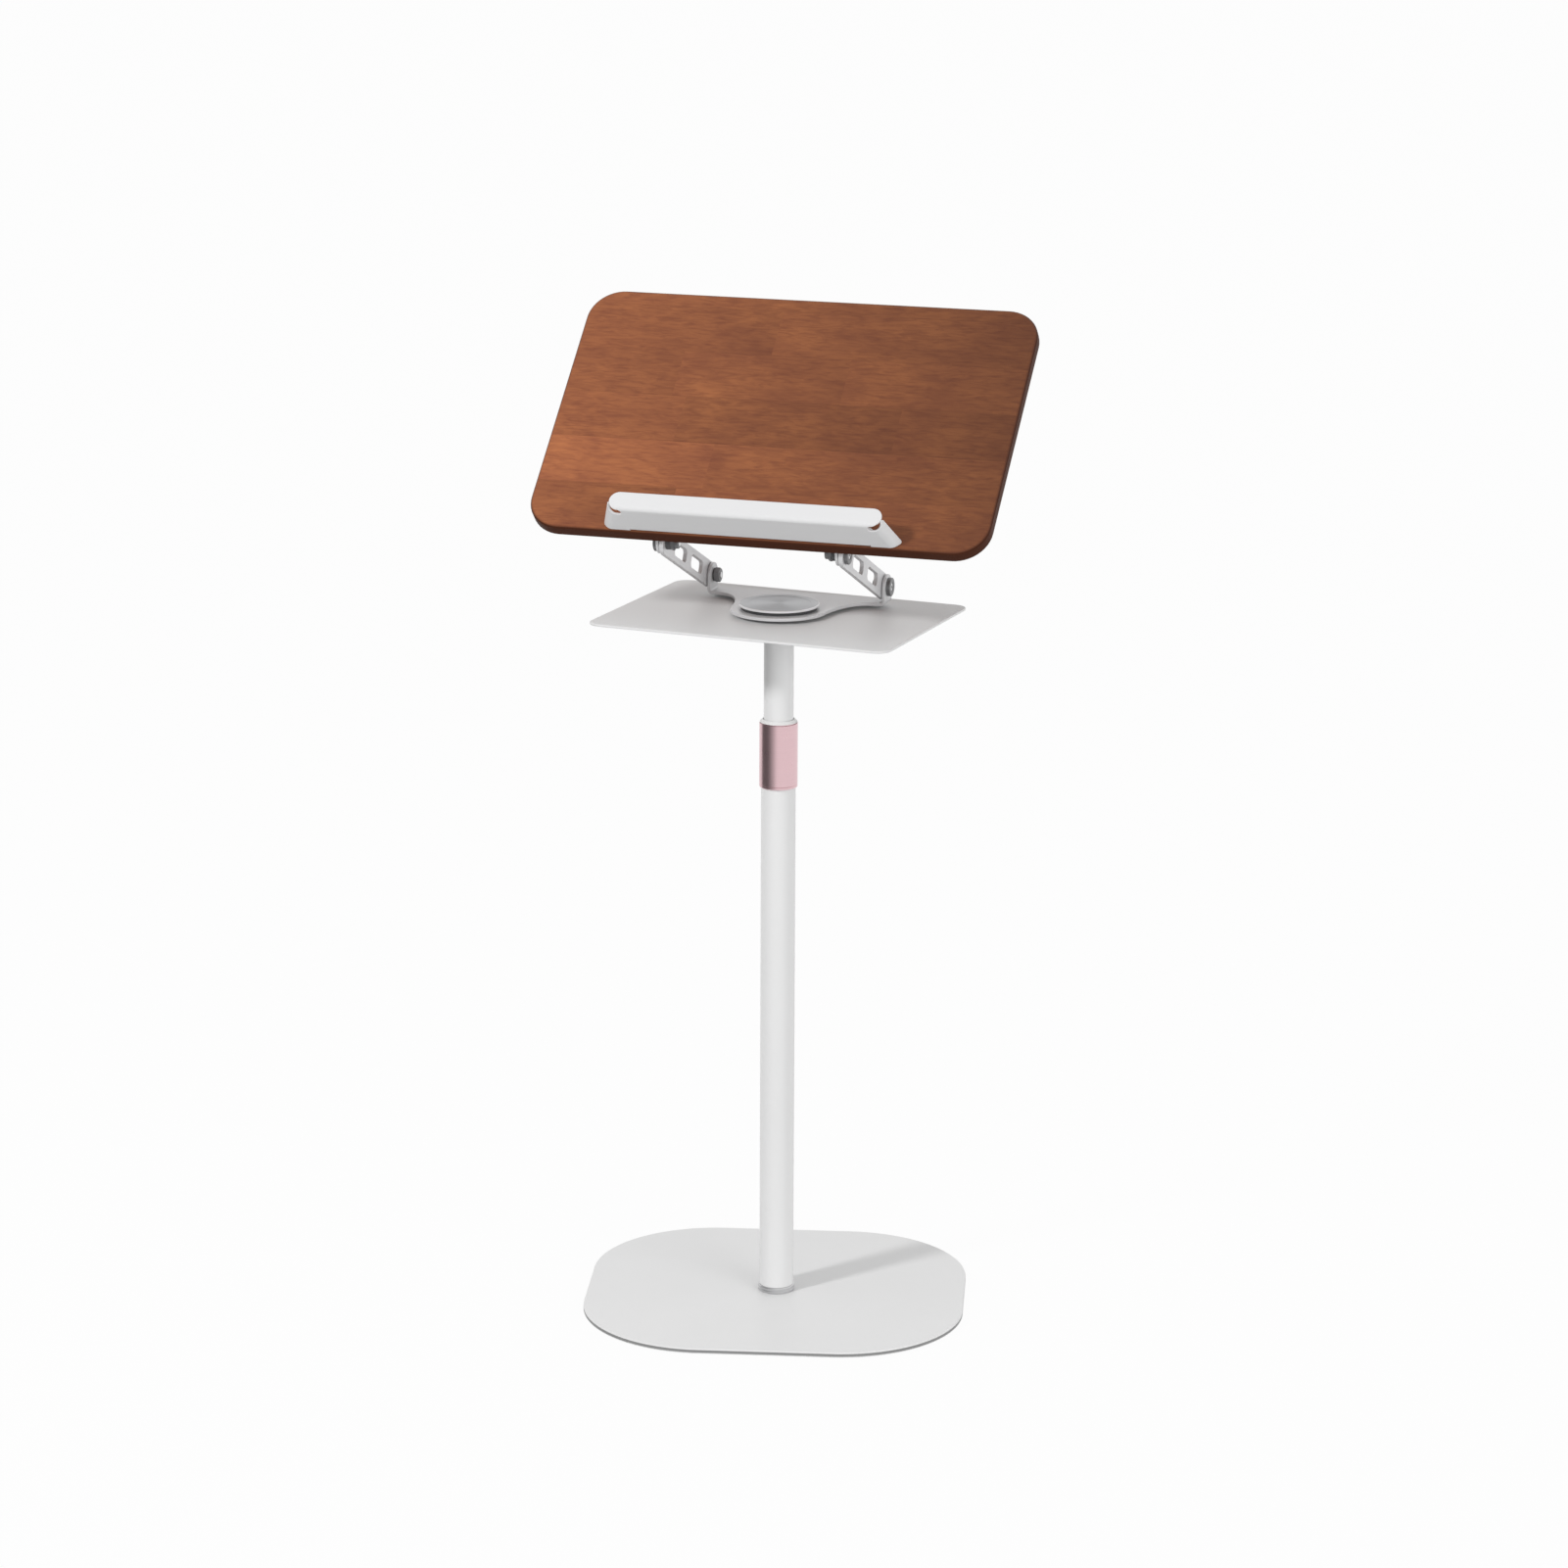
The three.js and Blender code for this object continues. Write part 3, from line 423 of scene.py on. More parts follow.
sleeve_foot_line = low.z + sleeve_line_inset
sleeve_mouth = high.z - sleeve_ring_height
sleeve_ring_low = sleeve_mouth + sleeve_groove
sleeve_section = [
    (sleeve_bore, low.z, 0),
    (sleeve_radius, low.z, sleeve_bevel),
    (sleeve_radius, sleeve_foot_line - sleeve_line, 0),
    (sleeve_radius - sleeve_line, sleeve_foot_line, 0),
    (sleeve_radius, sleeve_foot_line + sleeve_line, 0),
    (sleeve_radius, sleeve_mouth, sleeve_line),
    (sleeve_radius - sleeve_groove_depth, sleeve_mouth, 0),
    (sleeve_radius - sleeve_groove_depth, sleeve_ring_low, 0),
    (sleeve_radius - sleeve_line, sleeve_ring_low, 0),
    (sleeve_ring_top, high.z, 0),
    (sleeve_lip_bore, high.z, 0),
    (sleeve_lip_bore, high.z - sleeve_lip_height, 0),
    (sleeve_bore, high.z - sleeve_lip_height - sleeve_cone_height, 0),
]
pink_anodised = turned_metal(
    "pink anodised aluminium", anodised_pink, pink_roughness, pink_relief
)
lock_sleeve = spun("lock sleeve", sleeve_section)
mount("lock_sleeve_anodised", lock_sleeve, Matrix(), "sleeve", "pink_anodised",
      pink_anodised, "lock_sleeve")
white_nylon = moulded("white nylon", nylon_white, white_nylon_roughness, nylon_grain)
repaint(lock_sleeve, white_nylon, lambda at: at.z > sleeve_ring_low - sleeve_groove / 4)

# Tray: a 2 mm steel plate with small round corners, coated pale grey, screwed to a turned hub.
# The hub's flange carries it from below, and its spigot closes the top of the upper tube.
tray_width = 0.256
tray_depth = 0.184
tray_corner = 0.012
tray_edge = 0.0006
tray_turn = math.radians(-5.1)
hub_edge = 0.0006
hub_spigot_share = 25 / 28
tray_paint = (0.70, 0.70, 0.70, 1)
tray_roughness = 0.45


def opening(x, y, radius, sides=64):
    """A round hole, clockwise, as openings run."""
    turn = [-2 * math.pi * k / sides for k in range(sides)]
    return [Vector((x + radius * math.cos(a), y + radius * math.sin(a))) for a in turn]


tray_coat = powder_coat("pale grey powder coat", tray_paint, tray_roughness)
low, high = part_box("tray_plate")
tray_outline = rectangle(tray_width, tray_depth, tray_corner, quarter_steps=16)
tray_plate = plate("tray plate", [tray_outline, opening(0, 0, screw_bore)], high.z - low.z, tray_edge)
tray_plate.transform(Matrix.Rotation(tray_turn, 4, "Z"))
tray_place = Matrix.Translation((0, 0, low.z))
mount("tray_plate_coated", tray_plate, tray_place, "column", "tray_coat", tray_coat, "tray_plate")

low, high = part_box("tray_hub")
spigot_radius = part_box("upper_tube")[1].x - tube_wall
spigot_top = low.z + (high.z - low.z) * hub_spigot_share
tray_hub = spun("tray hub", [
    (screw_bore, low.z, 0),
    (spigot_radius, low.z, hub_edge),
    (spigot_radius, spigot_top, 0),
    (high.x, spigot_top, hub_edge),
    (high.x, high.z, hub_edge / 2),
    (screw_bore, high.z, 0),
])
mount("tray_hub_turned", tray_hub, Matrix(), "column", "bright_steel", bright_steel, "tray_hub")

# Turntable bearing: a dark nylon disc between the tray and the bracket, with a thin washer on
# top of the bracket. One low screw through both goes down into the hub.
bearing_edge = 0.0004
bearing_collar_wall = 0.0019
nylon_dark = (0.035, 0.035, 0.037, 1)
dark_nylon_roughness = 0.5
low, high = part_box("lower_bearing")
bearing_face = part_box("swivel_bracket")[0].z
bearing_collar = screw_bore + bearing_collar_wall
dark_nylon = moulded("dark nylon", nylon_dark, dark_nylon_roughness, nylon_grain)
lower_bearing = spun("lower bearing", [
    (screw_bore, low.z, 0),
    (high.x, low.z, bearing_edge),
    (high.x, bearing_face, bearing_edge),
    (bearing_collar, bearing_face, 0),
    (bearing_collar, high.z, 0),
    (screw_bore, high.z, 0),
])
mount("lower_bearing_nylon", lower_bearing, Matrix(), "column", "grey_nylon", dark_nylon, "lower_bearing")
refinish(dark_nylon, "upper_washer")
refinish(bright_steel, "pivot_screw")

# Swivel bracket: one sheet of 2.5 mm aluminium, cut with a round nose that sweeps out to two
# ears, which are then folded up. Satin silver, with softened edges.
bracket_rim = 0.0004
bracket_fold = 0.0015
bracket_nose = 0.039
ear_radius = 0.010
ear_hole = 0.00262
sweep_near_shares = (0.12, 0.6)
sweep_far_shares = (0.34, 1.0)
sweep_end_share = 0.78
silver_satin = (0.69, 0.69, 0.70, 1)
silver_roughness = 0.42
silver_metallic = 0.3
silver_grain = 0.0005
silver_stretch_share = 0.06
silver_cloud_scale = 70.0
silver_shade = 0.88
silver_gloss_spread = 0.06
silver_relief = 0.000004


def bezier(start, near, far, end, steps=24):
    """Points of a curve from start to end, without the first."""
    points = []
    for k in range(1, steps + 1):
        t = k / steps
        shares = ((1 - t) ** 3, 3 * t * (1 - t) ** 2, 3 * t * t * (1 - t), t**3)
        pulls = zip(shares, (start, near, far, end))
        points.append(sum((share * Vector(p) for share, p in pulls), Vector((0, 0))))
    return points


def arc(centre, radius, start, end, steps=16):
    """Points of an arc between two angles in degrees, both ends among them."""
    angles = [math.radians(start + (end - start) * k / steps) for k in range(steps + 1)]
    return [Vector(centre) + radius * Vector((math.cos(a), math.sin(a))) for a in angles]


def mirrored(half):
    """A closed outline from its right half, which runs upwards and ends on the middle line."""
    return half + [Vector((-x, y)) for x, y in reversed(half) if abs(x) > 1e-9]


def fold(sheet, point, outward, angle, thickness, inner_radius, beyond=None, steps=8):
    """Folds a flat sheet up along a line through a point: all that lies outward of it."""
    bm = bmesh.new()
    bm.from_mesh(sheet)
    neutral = inner_radius + thickness / 2
    point, outward = Vector((*point, 0)), Vector((*outward, 0)).normalized()
    for k in range(steps + 1):
        line = point + outward * (angle * neutral * k / steps)
        everything = bm.verts[:] + bm.edges[:] + bm.faces[:]
        bmesh.ops.bisect_plane(bm, geom=everything, plane_co=line, plane_no=outward, dist=weld_gap)
    centre = thickness + inner_radius
    for v in bm.verts:
        reach = (v.co - point).dot(outward)
        if reach <= 0 or (beyond and not beyond(v.co)):
            continue
        turn = min(reach / neutral, angle)
        tail = reach - turn * neutral
        arm = centre - v.co.z
        v.co += outward * (arm * math.sin(turn) + tail * math.cos(turn) - reach)
        v.co.z = centre - arm * math.cos(turn) + tail * math.sin(turn)
    bm.to_mesh(sheet)
    bm.free()


def brushed(name, colour, roughness):
    """Satin metal with a fine grain that runs along x."""
    material, tree, surface = shader(name, {"Metallic": silver_metallic})
    place = node(tree, "TexCoord").outputs["Object"]
    drawn_out = {"Vector": place, "Scale": (silver_stretch_share, 1.0, 1.0)}
    stretch = node(tree, "Mapping", drawn_out).outputs["Vector"]
    lines = noise(tree, stretch, 1 / silver_grain, 3.0)
    cloud = noise(tree, place, silver_cloud_scale, 2.0)
    colours = (shaded(colour, silver_shade), colour)
    varied(tree, surface, colours, lines, cloud, roughness, silver_gloss_spread)
    raised(tree, surface, lines, silver_relief)
    return material


hinge_metal = brushed("satin silver", silver_satin, silver_roughness)
pivots = {j["name"]: Vector(j["pos_m"]) for j in frame["joints"] if "pos_m" in j}
lower_axis, upper_axis = pivots["arms_raise"], pivots["board_tilt"]
low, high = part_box("swivel_bracket")
bracket_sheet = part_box("upper_washer")[0].z - low.z
ear_face = high.x
fold_line = ear_face - bracket_fold - bracket_sheet
fold_length = (bracket_fold + bracket_sheet / 2) * math.pi / 2
ear_middle = fold_line + fold_length + (lower_axis.z - low.z) - (bracket_fold + bracket_sheet)
ear_front = lower_axis.y - ear_radius
sweep = ear_face - bracket_nose
bracket_half = arc((0, 0), bracket_nose, -90, 0, steps=24)
bracket_half += bezier(
    (bracket_nose, 0),
    (bracket_nose + sweep_near_shares[0] * sweep, sweep_near_shares[1] * ear_front),
    (bracket_nose + sweep_far_shares[0] * sweep, sweep_far_shares[1] * ear_front),
    (bracket_nose + sweep_end_share * sweep, ear_front),
)
bracket_half += arc((ear_middle, lower_axis.y), ear_radius, -90, 90)
bracket_half += [Vector((0, lower_axis.y + ear_radius))]
bracket_outline = mirrored(bracket_half)
bracket_openings = [opening(0, 0, bearing_collar)]
bracket_openings += [opening(side * ear_middle, lower_axis.y, ear_hole, sides=32) for side in (-1, 1)]
bracket = plate("swivel bracket", [bracket_outline, *bracket_openings], bracket_sheet, bracket_rim)
for side in (-1, 1):
    fold(bracket, (side * fold_line, 0), (side, 0), math.pi / 2, bracket_sheet, bracket_fold)
bracket_place = Matrix.Translation((0, 0, low.z))
mount("swivel_bracket_folded", bracket, bracket_place, "turntable", "hinge_metal",
      hinge_metal, "swivel_bracket")

# Turntable disc: a cover turned from aluminium, 64 mm across, with a bright bevelled rim. Its face
# is a dark grey, a painted reflection of the dark board above it. A dark nylon ring under it
# stands on the bracket round the screw's head and carries it just clear of the sheet. The ring
# reaches nearly to the rim, and with the disc's dark underside it fills the gap under the rim
# with painted shade.
disc_thickness = 0.0018
disc_bevel = 0.0005
# The ring under the disc reaches almost to its rim, so that its dark side fills the gap: painted shade.
shade_ring_radius = 0.0305
disc_boss_bore = 0.014
disc_step_radius = 0.0255
disc_step_depth = 0.00012
# Painted reflection: the disc's face is a dark grey, far below bare aluminium, standing in for the dark
# board it reflects.
disc_face_painted_reflection = (0.34, 0.34, 0.35, 1)
aluminium_cut = (0.86, 0.86, 0.87, 1)
disc_roughness = 0.36
disc_relief = 0.000005
disc_grooves = {"Anisotropic": 0.6, "Anisotropic Rotation": 0.25}
rim_roughness = 0.35
rim_finish = {"Metallic": 0.4}
low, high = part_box("turntable_disc")
disc_low = high.z - disc_thickness
disc_radius = high.x
spun_aluminium = turned_metal(
    "turned aluminium", disc_face_painted_reflection, disc_roughness, disc_relief, disc_grooves
)
turntable_disc = spun("turntable disc", [
    (0, disc_low, 0),
    (disc_boss_bore, disc_low, 0),
    (disc_boss_bore, low.z, 0),
    (shade_ring_radius, low.z, 0),
    (shade_ring_radius, disc_low, 0),
    (disc_radius, disc_low, disc_bevel / 4),
    (disc_radius, high.z - disc_bevel, disc_bevel / 6),
    (disc_radius - disc_bevel, high.z, disc_bevel / 6),
    (disc_step_radius, high.z, 0),
    (disc_step_radius - disc_step_depth, high.z - disc_step_depth, 0),
    (0, high.z - disc_step_depth, 0),
], sides=128)
mount("turntable_disc_turned", turntable_disc, Matrix(), "turntable", "spun_aluminium",
      spun_aluminium, "turntable_disc")
bright_rim = turned_metal(
    "bright cut aluminium", aluminium_cut, rim_roughness, uniform=rim_finish
)
disc_flat = disc_radius - disc_bevel
disc_under = disc_low + disc_bevel / 4
repaint(turntable_disc, bright_rim, lambda at: at.xy.length > disc_flat)
# Painted shade: the disc's underside and the ring under it take the dark nylon, so that the gap under the
# rim shows dark.
repaint(turntable_disc, dark_nylon, lambda at: at.xy.length <= disc_flat and at.z < disc_under)

# Arms: two flat links cut from 3.5 mm aluminium, brushed along their length. Each has a hole at
# both ends for its pins and two long windows between them, all edges softened.
arm_width = 0.021
arm_rim = 0.0005
arm_window_length = 0.030
arm_window_width = 0.0105
arm_window_corner = 0.0035
arm_window_spacing = 0.043
hinge_offset = 0.0738
arm_roughness = 0.36


def axes(x, y, z):
    """The turn that lays a piece's own x, y and z along three directions."""
    return Matrix((x, y, z)).transposed().to_4x4()


arm_metal = brushed("brushed silver", silver_satin, arm_roughness)
arm_length = (upper_axis - lower_axis).length
along = (upper_axis - lower_axis).normalized()
sideways = Vector((1, 0, 0))
arm_frame = axes(along, sideways.cross(along), sideways)
arm_outline = arc((0, 0), arm_width / 2, 90, 270, steps=32)
arm_outline += arc((arm_length, 0), arm_width / 2, -90, 90, steps=32)
arm_openings = [opening(x, 0, ear_hole, sides=32) for x in (0, arm_length)]
for step in (-1, 1):
    window_middle = (arm_length / 2 + step * arm_window_spacing / 2, 0)
    window = rectangle(arm_window_length, arm_window_width, arm_window_corner, window_middle, 8)
    arm_openings.append(window[::-1])
for side in ("left", "right"):
    low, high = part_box(side + "_arm")
    arm = plate(side + " arm", [arm_outline, *arm_openings], high.x - low.x, arm_rim)
    arm_place = Matrix.Translation((low.x, lower_axis.y, lower_axis.z)) @ arm_frame
    mount(side + "_arm_cut", arm, arm_place, "arms", "hinge_metal", arm_metal, side + "_arm")

# Pivots: at each end of an arm, a dark cup on the outer side holds the recessed head of a steel
# pin. On the inner side it carries disc springs and a nut, whose friction holds the pose, and
# between the plates there is a thin nylon washer.
cup_bevel = 0.0006
cup_floor = 0.001
cup_mouth = 0.0035
pin_radius = 0.0025
pin_head_radius = 0.0033
pin_socket_across = 0.0025
pin_socket_depth = 0.0008
pin_edge = 0.00025
spring_thickness = 0.0005
spring_groove = 0.00028
spring_bevel_share = 0.3
nut_across = 0.0105
nut_bevel_angle = math.radians(30)
nut_bevel_share = 0.96
nut_blank_share = 1.01
nut_overrun = 0.001
nut_edge = 0.00005
nut_collar_height = 0.003
nut_collar_radius = 0.0044
nut_collar_edge = 0.0005
washer_radius = 0.008
washer_edge = 0.00015
steel_dark = (0.21, 0.21, 0.215, 1)
dark_roughness = 0.42
dark_relief = 0.000002
dark_finish = {"Metallic": 0.7}


def hexagon(across):
    """A hexagon by the distance between its flats, counter-clockwise."""
    corner = across / 2 / math.cos(math.pi / 6)
    turns = [math.pi / 3 * k for k in range(6)]
    return [Vector((corner * math.cos(a), corner * math.sin(a))) for a in turns]


def joined(name, *parts):
    """One mesh from several, each moved up along z by its own height."""
    bm = bmesh.new()
    for mesh, height in parts:
        mesh.transform(Matrix.Translation((0, 0, height)))
        bm.from_mesh(mesh)
        bpy.data.meshes.remove(mesh)
    return meshed(bm, name)


def carved(mesh, tool, operation):
    """One mesh cut by another, or what the two have in common."""
    work = placed(mesh.name, mesh)
    cutter = placed(tool.name, tool)
    cut = work.modifiers.new("cut", "BOOLEAN")
    cut.object = cutter
    cut.operation = operation
    cut.solver = "EXACT"
    seen = bpy.context.evaluated_depsgraph_get()
    result = bpy.data.meshes.new_from_object(work.evaluated_get(seen))
    for thing in (work, cutter):
        bpy.data.objects.remove(thing)
    return result


def along_pin(node_name, hinge):
    """Where a turned piece of a pivot begins and ends, counted outwards along its pin."""
    low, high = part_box(node_name)
    return sorted((x - hinge.x) * (1 if hinge.x > 0 else -1) for x in (low.x, high.x))


dark_steel = turned_metal("blackened steel", steel_dark, dark_roughness, dark_relief, dark_finish)
for side, outward in (("left", -1), ("right", 1)):
    for end, axis in (("lower", lower_axis), ("upper", upper_axis)):
        pivot = f"{side}_{end}_"
        hinge = Vector((outward * hinge_offset, axis.y, axis.z))
        pin_place = Matrix.Translation(hinge) @ Matrix.Rotation(outward * math.pi / 2, 4, "Y")

        start, stop = along_pin(pivot + "cup", hinge)
        low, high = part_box(pivot + "cup")
        cup_radius = (high.z - low.z) / 2
        cup = spun(pivot + "cup", [
            (ear_hole, start, 0),
            (cup_radius, start, cup_bevel / 3),
            (cup_radius, stop, cup_bevel),
            (cup_mouth, stop, cup_bevel / 2),
            (cup_mouth, start + cup_floor, cup_bevel / 4),
            (ear_hole, start + cup_floor, 0),
        ], sides=64)
        mount(pivot + "cup_black", cup, pin_place, "arms", "dark_steel", dark_steel, pivot + "cup")

        tail, head = along_pin(pivot + "pin", hinge)
        shank = spun(pivot + "shank", [
            (0, tail, 0),
            (pin_radius, tail, pin_edge),
            (pin_radius, start + cup_floor, 0),
            (pin_head_radius, start + cup_floor, 0),
            (pin_head_radius, head - pin_socket_depth, 0),
            (0, head - pin_socket_depth, 0),
        ], sides=48)
        head_outline = opening(0, 0, pin_head_radius, sides=48)[::-1]
        socket = hexagon(pin_socket_across)[::-1]
        top = plate(pivot + "head", [head_outline, socket], pin_socket_depth, pin_edge / 4, 2)
        pin = joined(pivot + "pin", (shank, 0), (top, head - pin_socket_depth))
        mount(pivot + "pin_turned", pin, pin_place, "arms", "bright_steel", bright_steel, pivot + "pin")

        start, stop = along_pin(pivot + "spring_washers", hinge)
        low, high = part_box(pivot + "spring_washers")
        spring_radius = (high.z - low.z) / 2
        springs = round((stop - start) / spring_thickness)
        step = (stop - start) / springs
        stack = [(ear_hole, start, 0)]
        for k in range(springs):
            stack.append((spring_radius - spring_groove, start + k * step, 0))
            stack.append((spring_radius, start + (k + spring_bevel_share) * step, 0))
            stack.append((spring_radius, start + (k + 1 - spring_bevel_share) * step, 0))
        stack += [(spring_radius - spring_groove, stop, 0), (ear_hole, stop, 0)]
        spring_washers = spun(pivot + "spring washers", stack, sides=64)
        mount(pivot + "spring_washers_black", spring_washers, pin_place, "arms", "dark_steel",
              dark_steel, pivot + "spring_washers")

        start, stop = along_pin(pivot + "nut", hinge)
        bevel_radius = nut_across / 2 * nut_bevel_share
        corner_radius = nut_across / 2 / math.cos(math.pi / 6)
        drop = (corner_radius - bevel_radius) * math.tan(nut_bevel_angle)
        collar = nut_collar_height if end == "upper" else 0
        hex_start = start + collar
        blank = spun(pivot + "blank", [
            (ear_hole, hex_start, 0),
            (bevel_radius, hex_start, 0),
            (corner_radius * nut_blank_share, hex_start + drop, 0),
            (corner_radius * nut_blank_share, stop - drop, 0),
            (bevel_radius, stop, 0),
            (ear_hole, stop, 0),
        ], sides=48)
        prism_length = stop - hex_start + 2 * nut_overrun
        prism = plate(pivot + "prism", [hexagon(nut_across)], prism_length, nut_edge, 1)
        prism.transform(Matrix.Translation((0, 0, hex_start - nut_overrun)))
        nut = carved(blank, prism, "INTERSECT")
        if collar:
            ring = spun(pivot + "collar", [
                (pin_radius, start, 0),
                (nut_collar_radius, start, nut_collar_edge),
                (nut_collar_radius, hex_start, 0),
                (pin_radius, hex_start, 0),
            ], sides=48)
            nut = joined(pivot + "nut", (nut, 0), (ring, 0))
        mount(pivot + "nut_black", nut, pin_place, "arms", "dark_steel", dark_steel,
              pivot + "nut", crease=20)

        start, stop = along_pin(pivot + "washer", hinge)
        washer = spun(pivot + "washer", [
            (ear_hole, start, 0),
            (washer_radius, start, washer_edge),
            (washer_radius, stop, washer_edge),
            (ear_hole, stop, 0),
        ], sides=64)
        mount(pivot + "washer_nylon", washer, pin_place, "arms", "grey_nylon", dark_nylon, pivot + "washer")

# Reading board: edge-glued staves of hardwood, 12 mm thick, stained walnut brown and lacquered
# satin. Its corners are cut round, its rounded edge took the stain darkest, and its colour is
# darkened steadily towards the right end, a painted shade.
board_width = 0.378
board_height = 0.236
board_corner = 0.028
board_edge = 0.0025
board_thickness = 0.012
board_back = 0.012
board_drop = 0.0085
board_lean = math.radians(46)
stave_width = 0.0445
# Row counted from the ledge's side, start from the left edge, tone
stave_tones = (
    (0, 0.000, 0.96), (0, 0.118, 1.22),
    (1, 0.000, 1.20), (1, 0.139, 1.13),
    (2, 0.000, 1.00), (2, 0.104, 0.92), (2, 0.284, 0.99),
    (3, 0.000, 0.93), (3, 0.092, 1.01), (3, 0.232, 1.10),
    (4, 0.000, 0.95), (4, 0.165, 1.03),
)
# Painted shade: how dark the board's colour grows at its right end, against 1 at the left.
right_end_painted_shade = 0.45
stave_shift = (3.1, 1.7, 0.9)
joint_width_share = 0.02
joint_stain_share = 0.22
streak_scale = 420.0
streak_stretch = (0.16, 1.0, 1.0)
streak_distortion = 0.8
streak_shares = (-0.75, 0.95)
figure_scale = 130.0
figure_stretch = (0.35, 1.0, 1.0)
figure_distortion = 1.0
figure_shares = (-0.50, 0.75)
cloud_scale = 36.0
cloud_stretch = (0.5, 1.0, 1.0)
cloud_shares = (-0.25, 0.75)
lacquer_roughness = (0.36, 0.56)
grain_relief = 0.00002
stain_light = (0.370, 0.131, 0.050, 1)
stain_dark = (0.150, 0.043, 0.025, 1)
stain_edge = (0.060, 0.019, 0.0095, 1)
edge_margin = 0.0009
face_sheen = 0.2
edge_sheen = 0.04
up_board = Vector((0, math.sin(board_lean), math.cos(board_lean)))
out_board = Vector((0, -math.cos(board_lean), math.sin(board_lean)))
board_axes = axes(sideways, up_board, out_board)
board_frame = Matrix.Translation(upper_axis) @ board_axes


def reckoned(tree, operation, *values):
    """The result of one sum with numbers or other nodes' outputs."""
    return node(tree, "Math", dict(enumerate(values)), operation=operation).outputs["Value"]


def grained(tree, place, stretch, scale, detail, distortion=0.0):
    """A noise drawn out along the staves."""
    drawn = node(tree, "Mapping", {"Vector": place, "Scale": stretch}).outputs["Vector"]
    return noise(tree, drawn, scale, detail, distortion)


def stained_wood(name, corner, sheen):
    """Edge-glued staves: each has its own tone, with long streaks, cloudy stain, dark joints and a painted
    shade that darkens the board towards its right end.
    """
    material, tree, surface = shader(name, {"Specular IOR Level": sheen})
    space = node(tree, "TexCoord").outputs["Object"]
    own = {"Vector": space, "Location": corner.to_translation(), "Rotation": corner.to_euler()}
    place = node(tree, "Mapping", own, vector_type="TEXTURE").outputs["Vector"]
    x, y, z = node(tree, "SeparateXYZ", {"Vector": place}).outputs
    row = reckoned(tree, "DIVIDE", y, stave_width)
    row_number = reckoned(tree, "FLOOR", row)
    row_share = reckoned(tree, "FRACT", row)
    # painted shade: the colour darkens steadily towards the right end
    tone = remapped(tree, x, 1.0, right_end_painted_shade, -board_width / 2, board_width / 2)
    ends = 0.0
    own_tone = 1.0
    for number, start, value in stave_tones:
        in_row = reckoned(tree, "COMPARE", row_number, float(number), 0.5)
        past = reckoned(tree, "GREATER_THAN", x, start - board_width / 2)
        here = reckoned(tree, "MULTIPLY", in_row, past)
        own_tone = node(tree, "Mix", {0: here, 2: own_tone, 3: value}).outputs[0]
        ends = reckoned(tree, "ADD", ends, here)
    stave = node(tree, "CombineXYZ", {"X": ends, "Y": row_number}).outputs["Vector"]
    shift = node(tree, "VectorMath", {0: stave, 1: stave_shift}, operation="MULTIPLY").outputs["Vector"]
    grain_place = node(tree, "VectorMath", {0: place, 1: shift}, operation="ADD").outputs["Vector"]
    streak = grained(tree, grain_place, streak_stretch, streak_scale, 4.0, streak_distortion)
    figure = grained(tree, grain_place, figure_stretch, figure_scale, 3.0, figure_distortion)
    cloud = grained(tree, place, cloud_stretch, cloud_scale, 2.0)
    stain = stain_light
    for texture, shares in ((cloud, cloud_shares), (figure, figure_shares), (streak, streak_shares)):
        stain = mixed(tree, stain, stain_dark, remapped(tree, texture, *shares))
    level = reckoned(tree, "MULTIPLY", tone, own_tone)
    toned = node(tree, "VectorMath", {0: stain, "Scale": level}, operation="SCALE").outputs["Vector"]
    joint = remapped(tree, row_share, joint_stain_share, 0.0, stop=joint_width_share)
    jointed = mixed(tree, toned, stain_edge, joint)
    past_face = remapped(tree, z, 1.0, 0.0, board_thickness - edge_margin, board_thickness)
    past_back = remapped(tree, z, 0.0, 1.0, stop=edge_margin)
    on_edge = reckoned(tree, "MULTIPLY", past_face, past_back)
    tree.links.new(mixed(tree, jointed, stain_edge, on_edge), surface.inputs["Base Color"])
    tree.links.new(remapped(tree, streak, *lacquer_roughness), surface.inputs["Roughness"])
    raised(tree, surface, streak, grain_relief)
    return material


board_outline = rectangle(board_width, board_height, board_corner, (0, board_height / 2))
board = plate("reading board", [board_outline], board_thickness, board_edge, rim_steps=6)
board_corner_place = board_frame @ Matrix.Translation((0, -board_drop, board_back))
board.transform(board_corner_place)
walnut = stained_wood("walnut stained wood", board_corner_place, face_sheen)
mount("reading_board_stained", board, Matrix(), "board", "walnut", walnut, "reading_board")
walnut_edge = stained_wood("walnut stained edge", board_corner_place, edge_sheen)
into_board = board_corner_place.inverted()
edge_top = board_thickness - edge_margin
repaint(board, walnut_edge, lambda at: edge_margin < (into_board @ at).z < edge_top)

# Hinge leaves: behind the board, at each hinge, a 2.5 mm leaf folded to a right angle. One side
# lies on the wood, and the other is the ear through which the upper pin passes.
leaf_sheet = 0.0025
leaf_fold = 0.0015
leaf_width = 0.024
leaf_rise = 0.056
leaf_drop = 0.005
leaf_corner = 0.006
leaf_ear_radius = 0.009
leaf_rim = 0.0004
leaf_face = 0.0117


def touching(point, centre, radius, side):
    """The angle in degrees at which a line from a point touches a circle, on one side of it."""
    to_point = Vector(point) - Vector(centre)
    swing = math.acos(radius / to_point.length)
    return math.degrees(math.atan2(to_point.y, to_point.x) + side * swing)


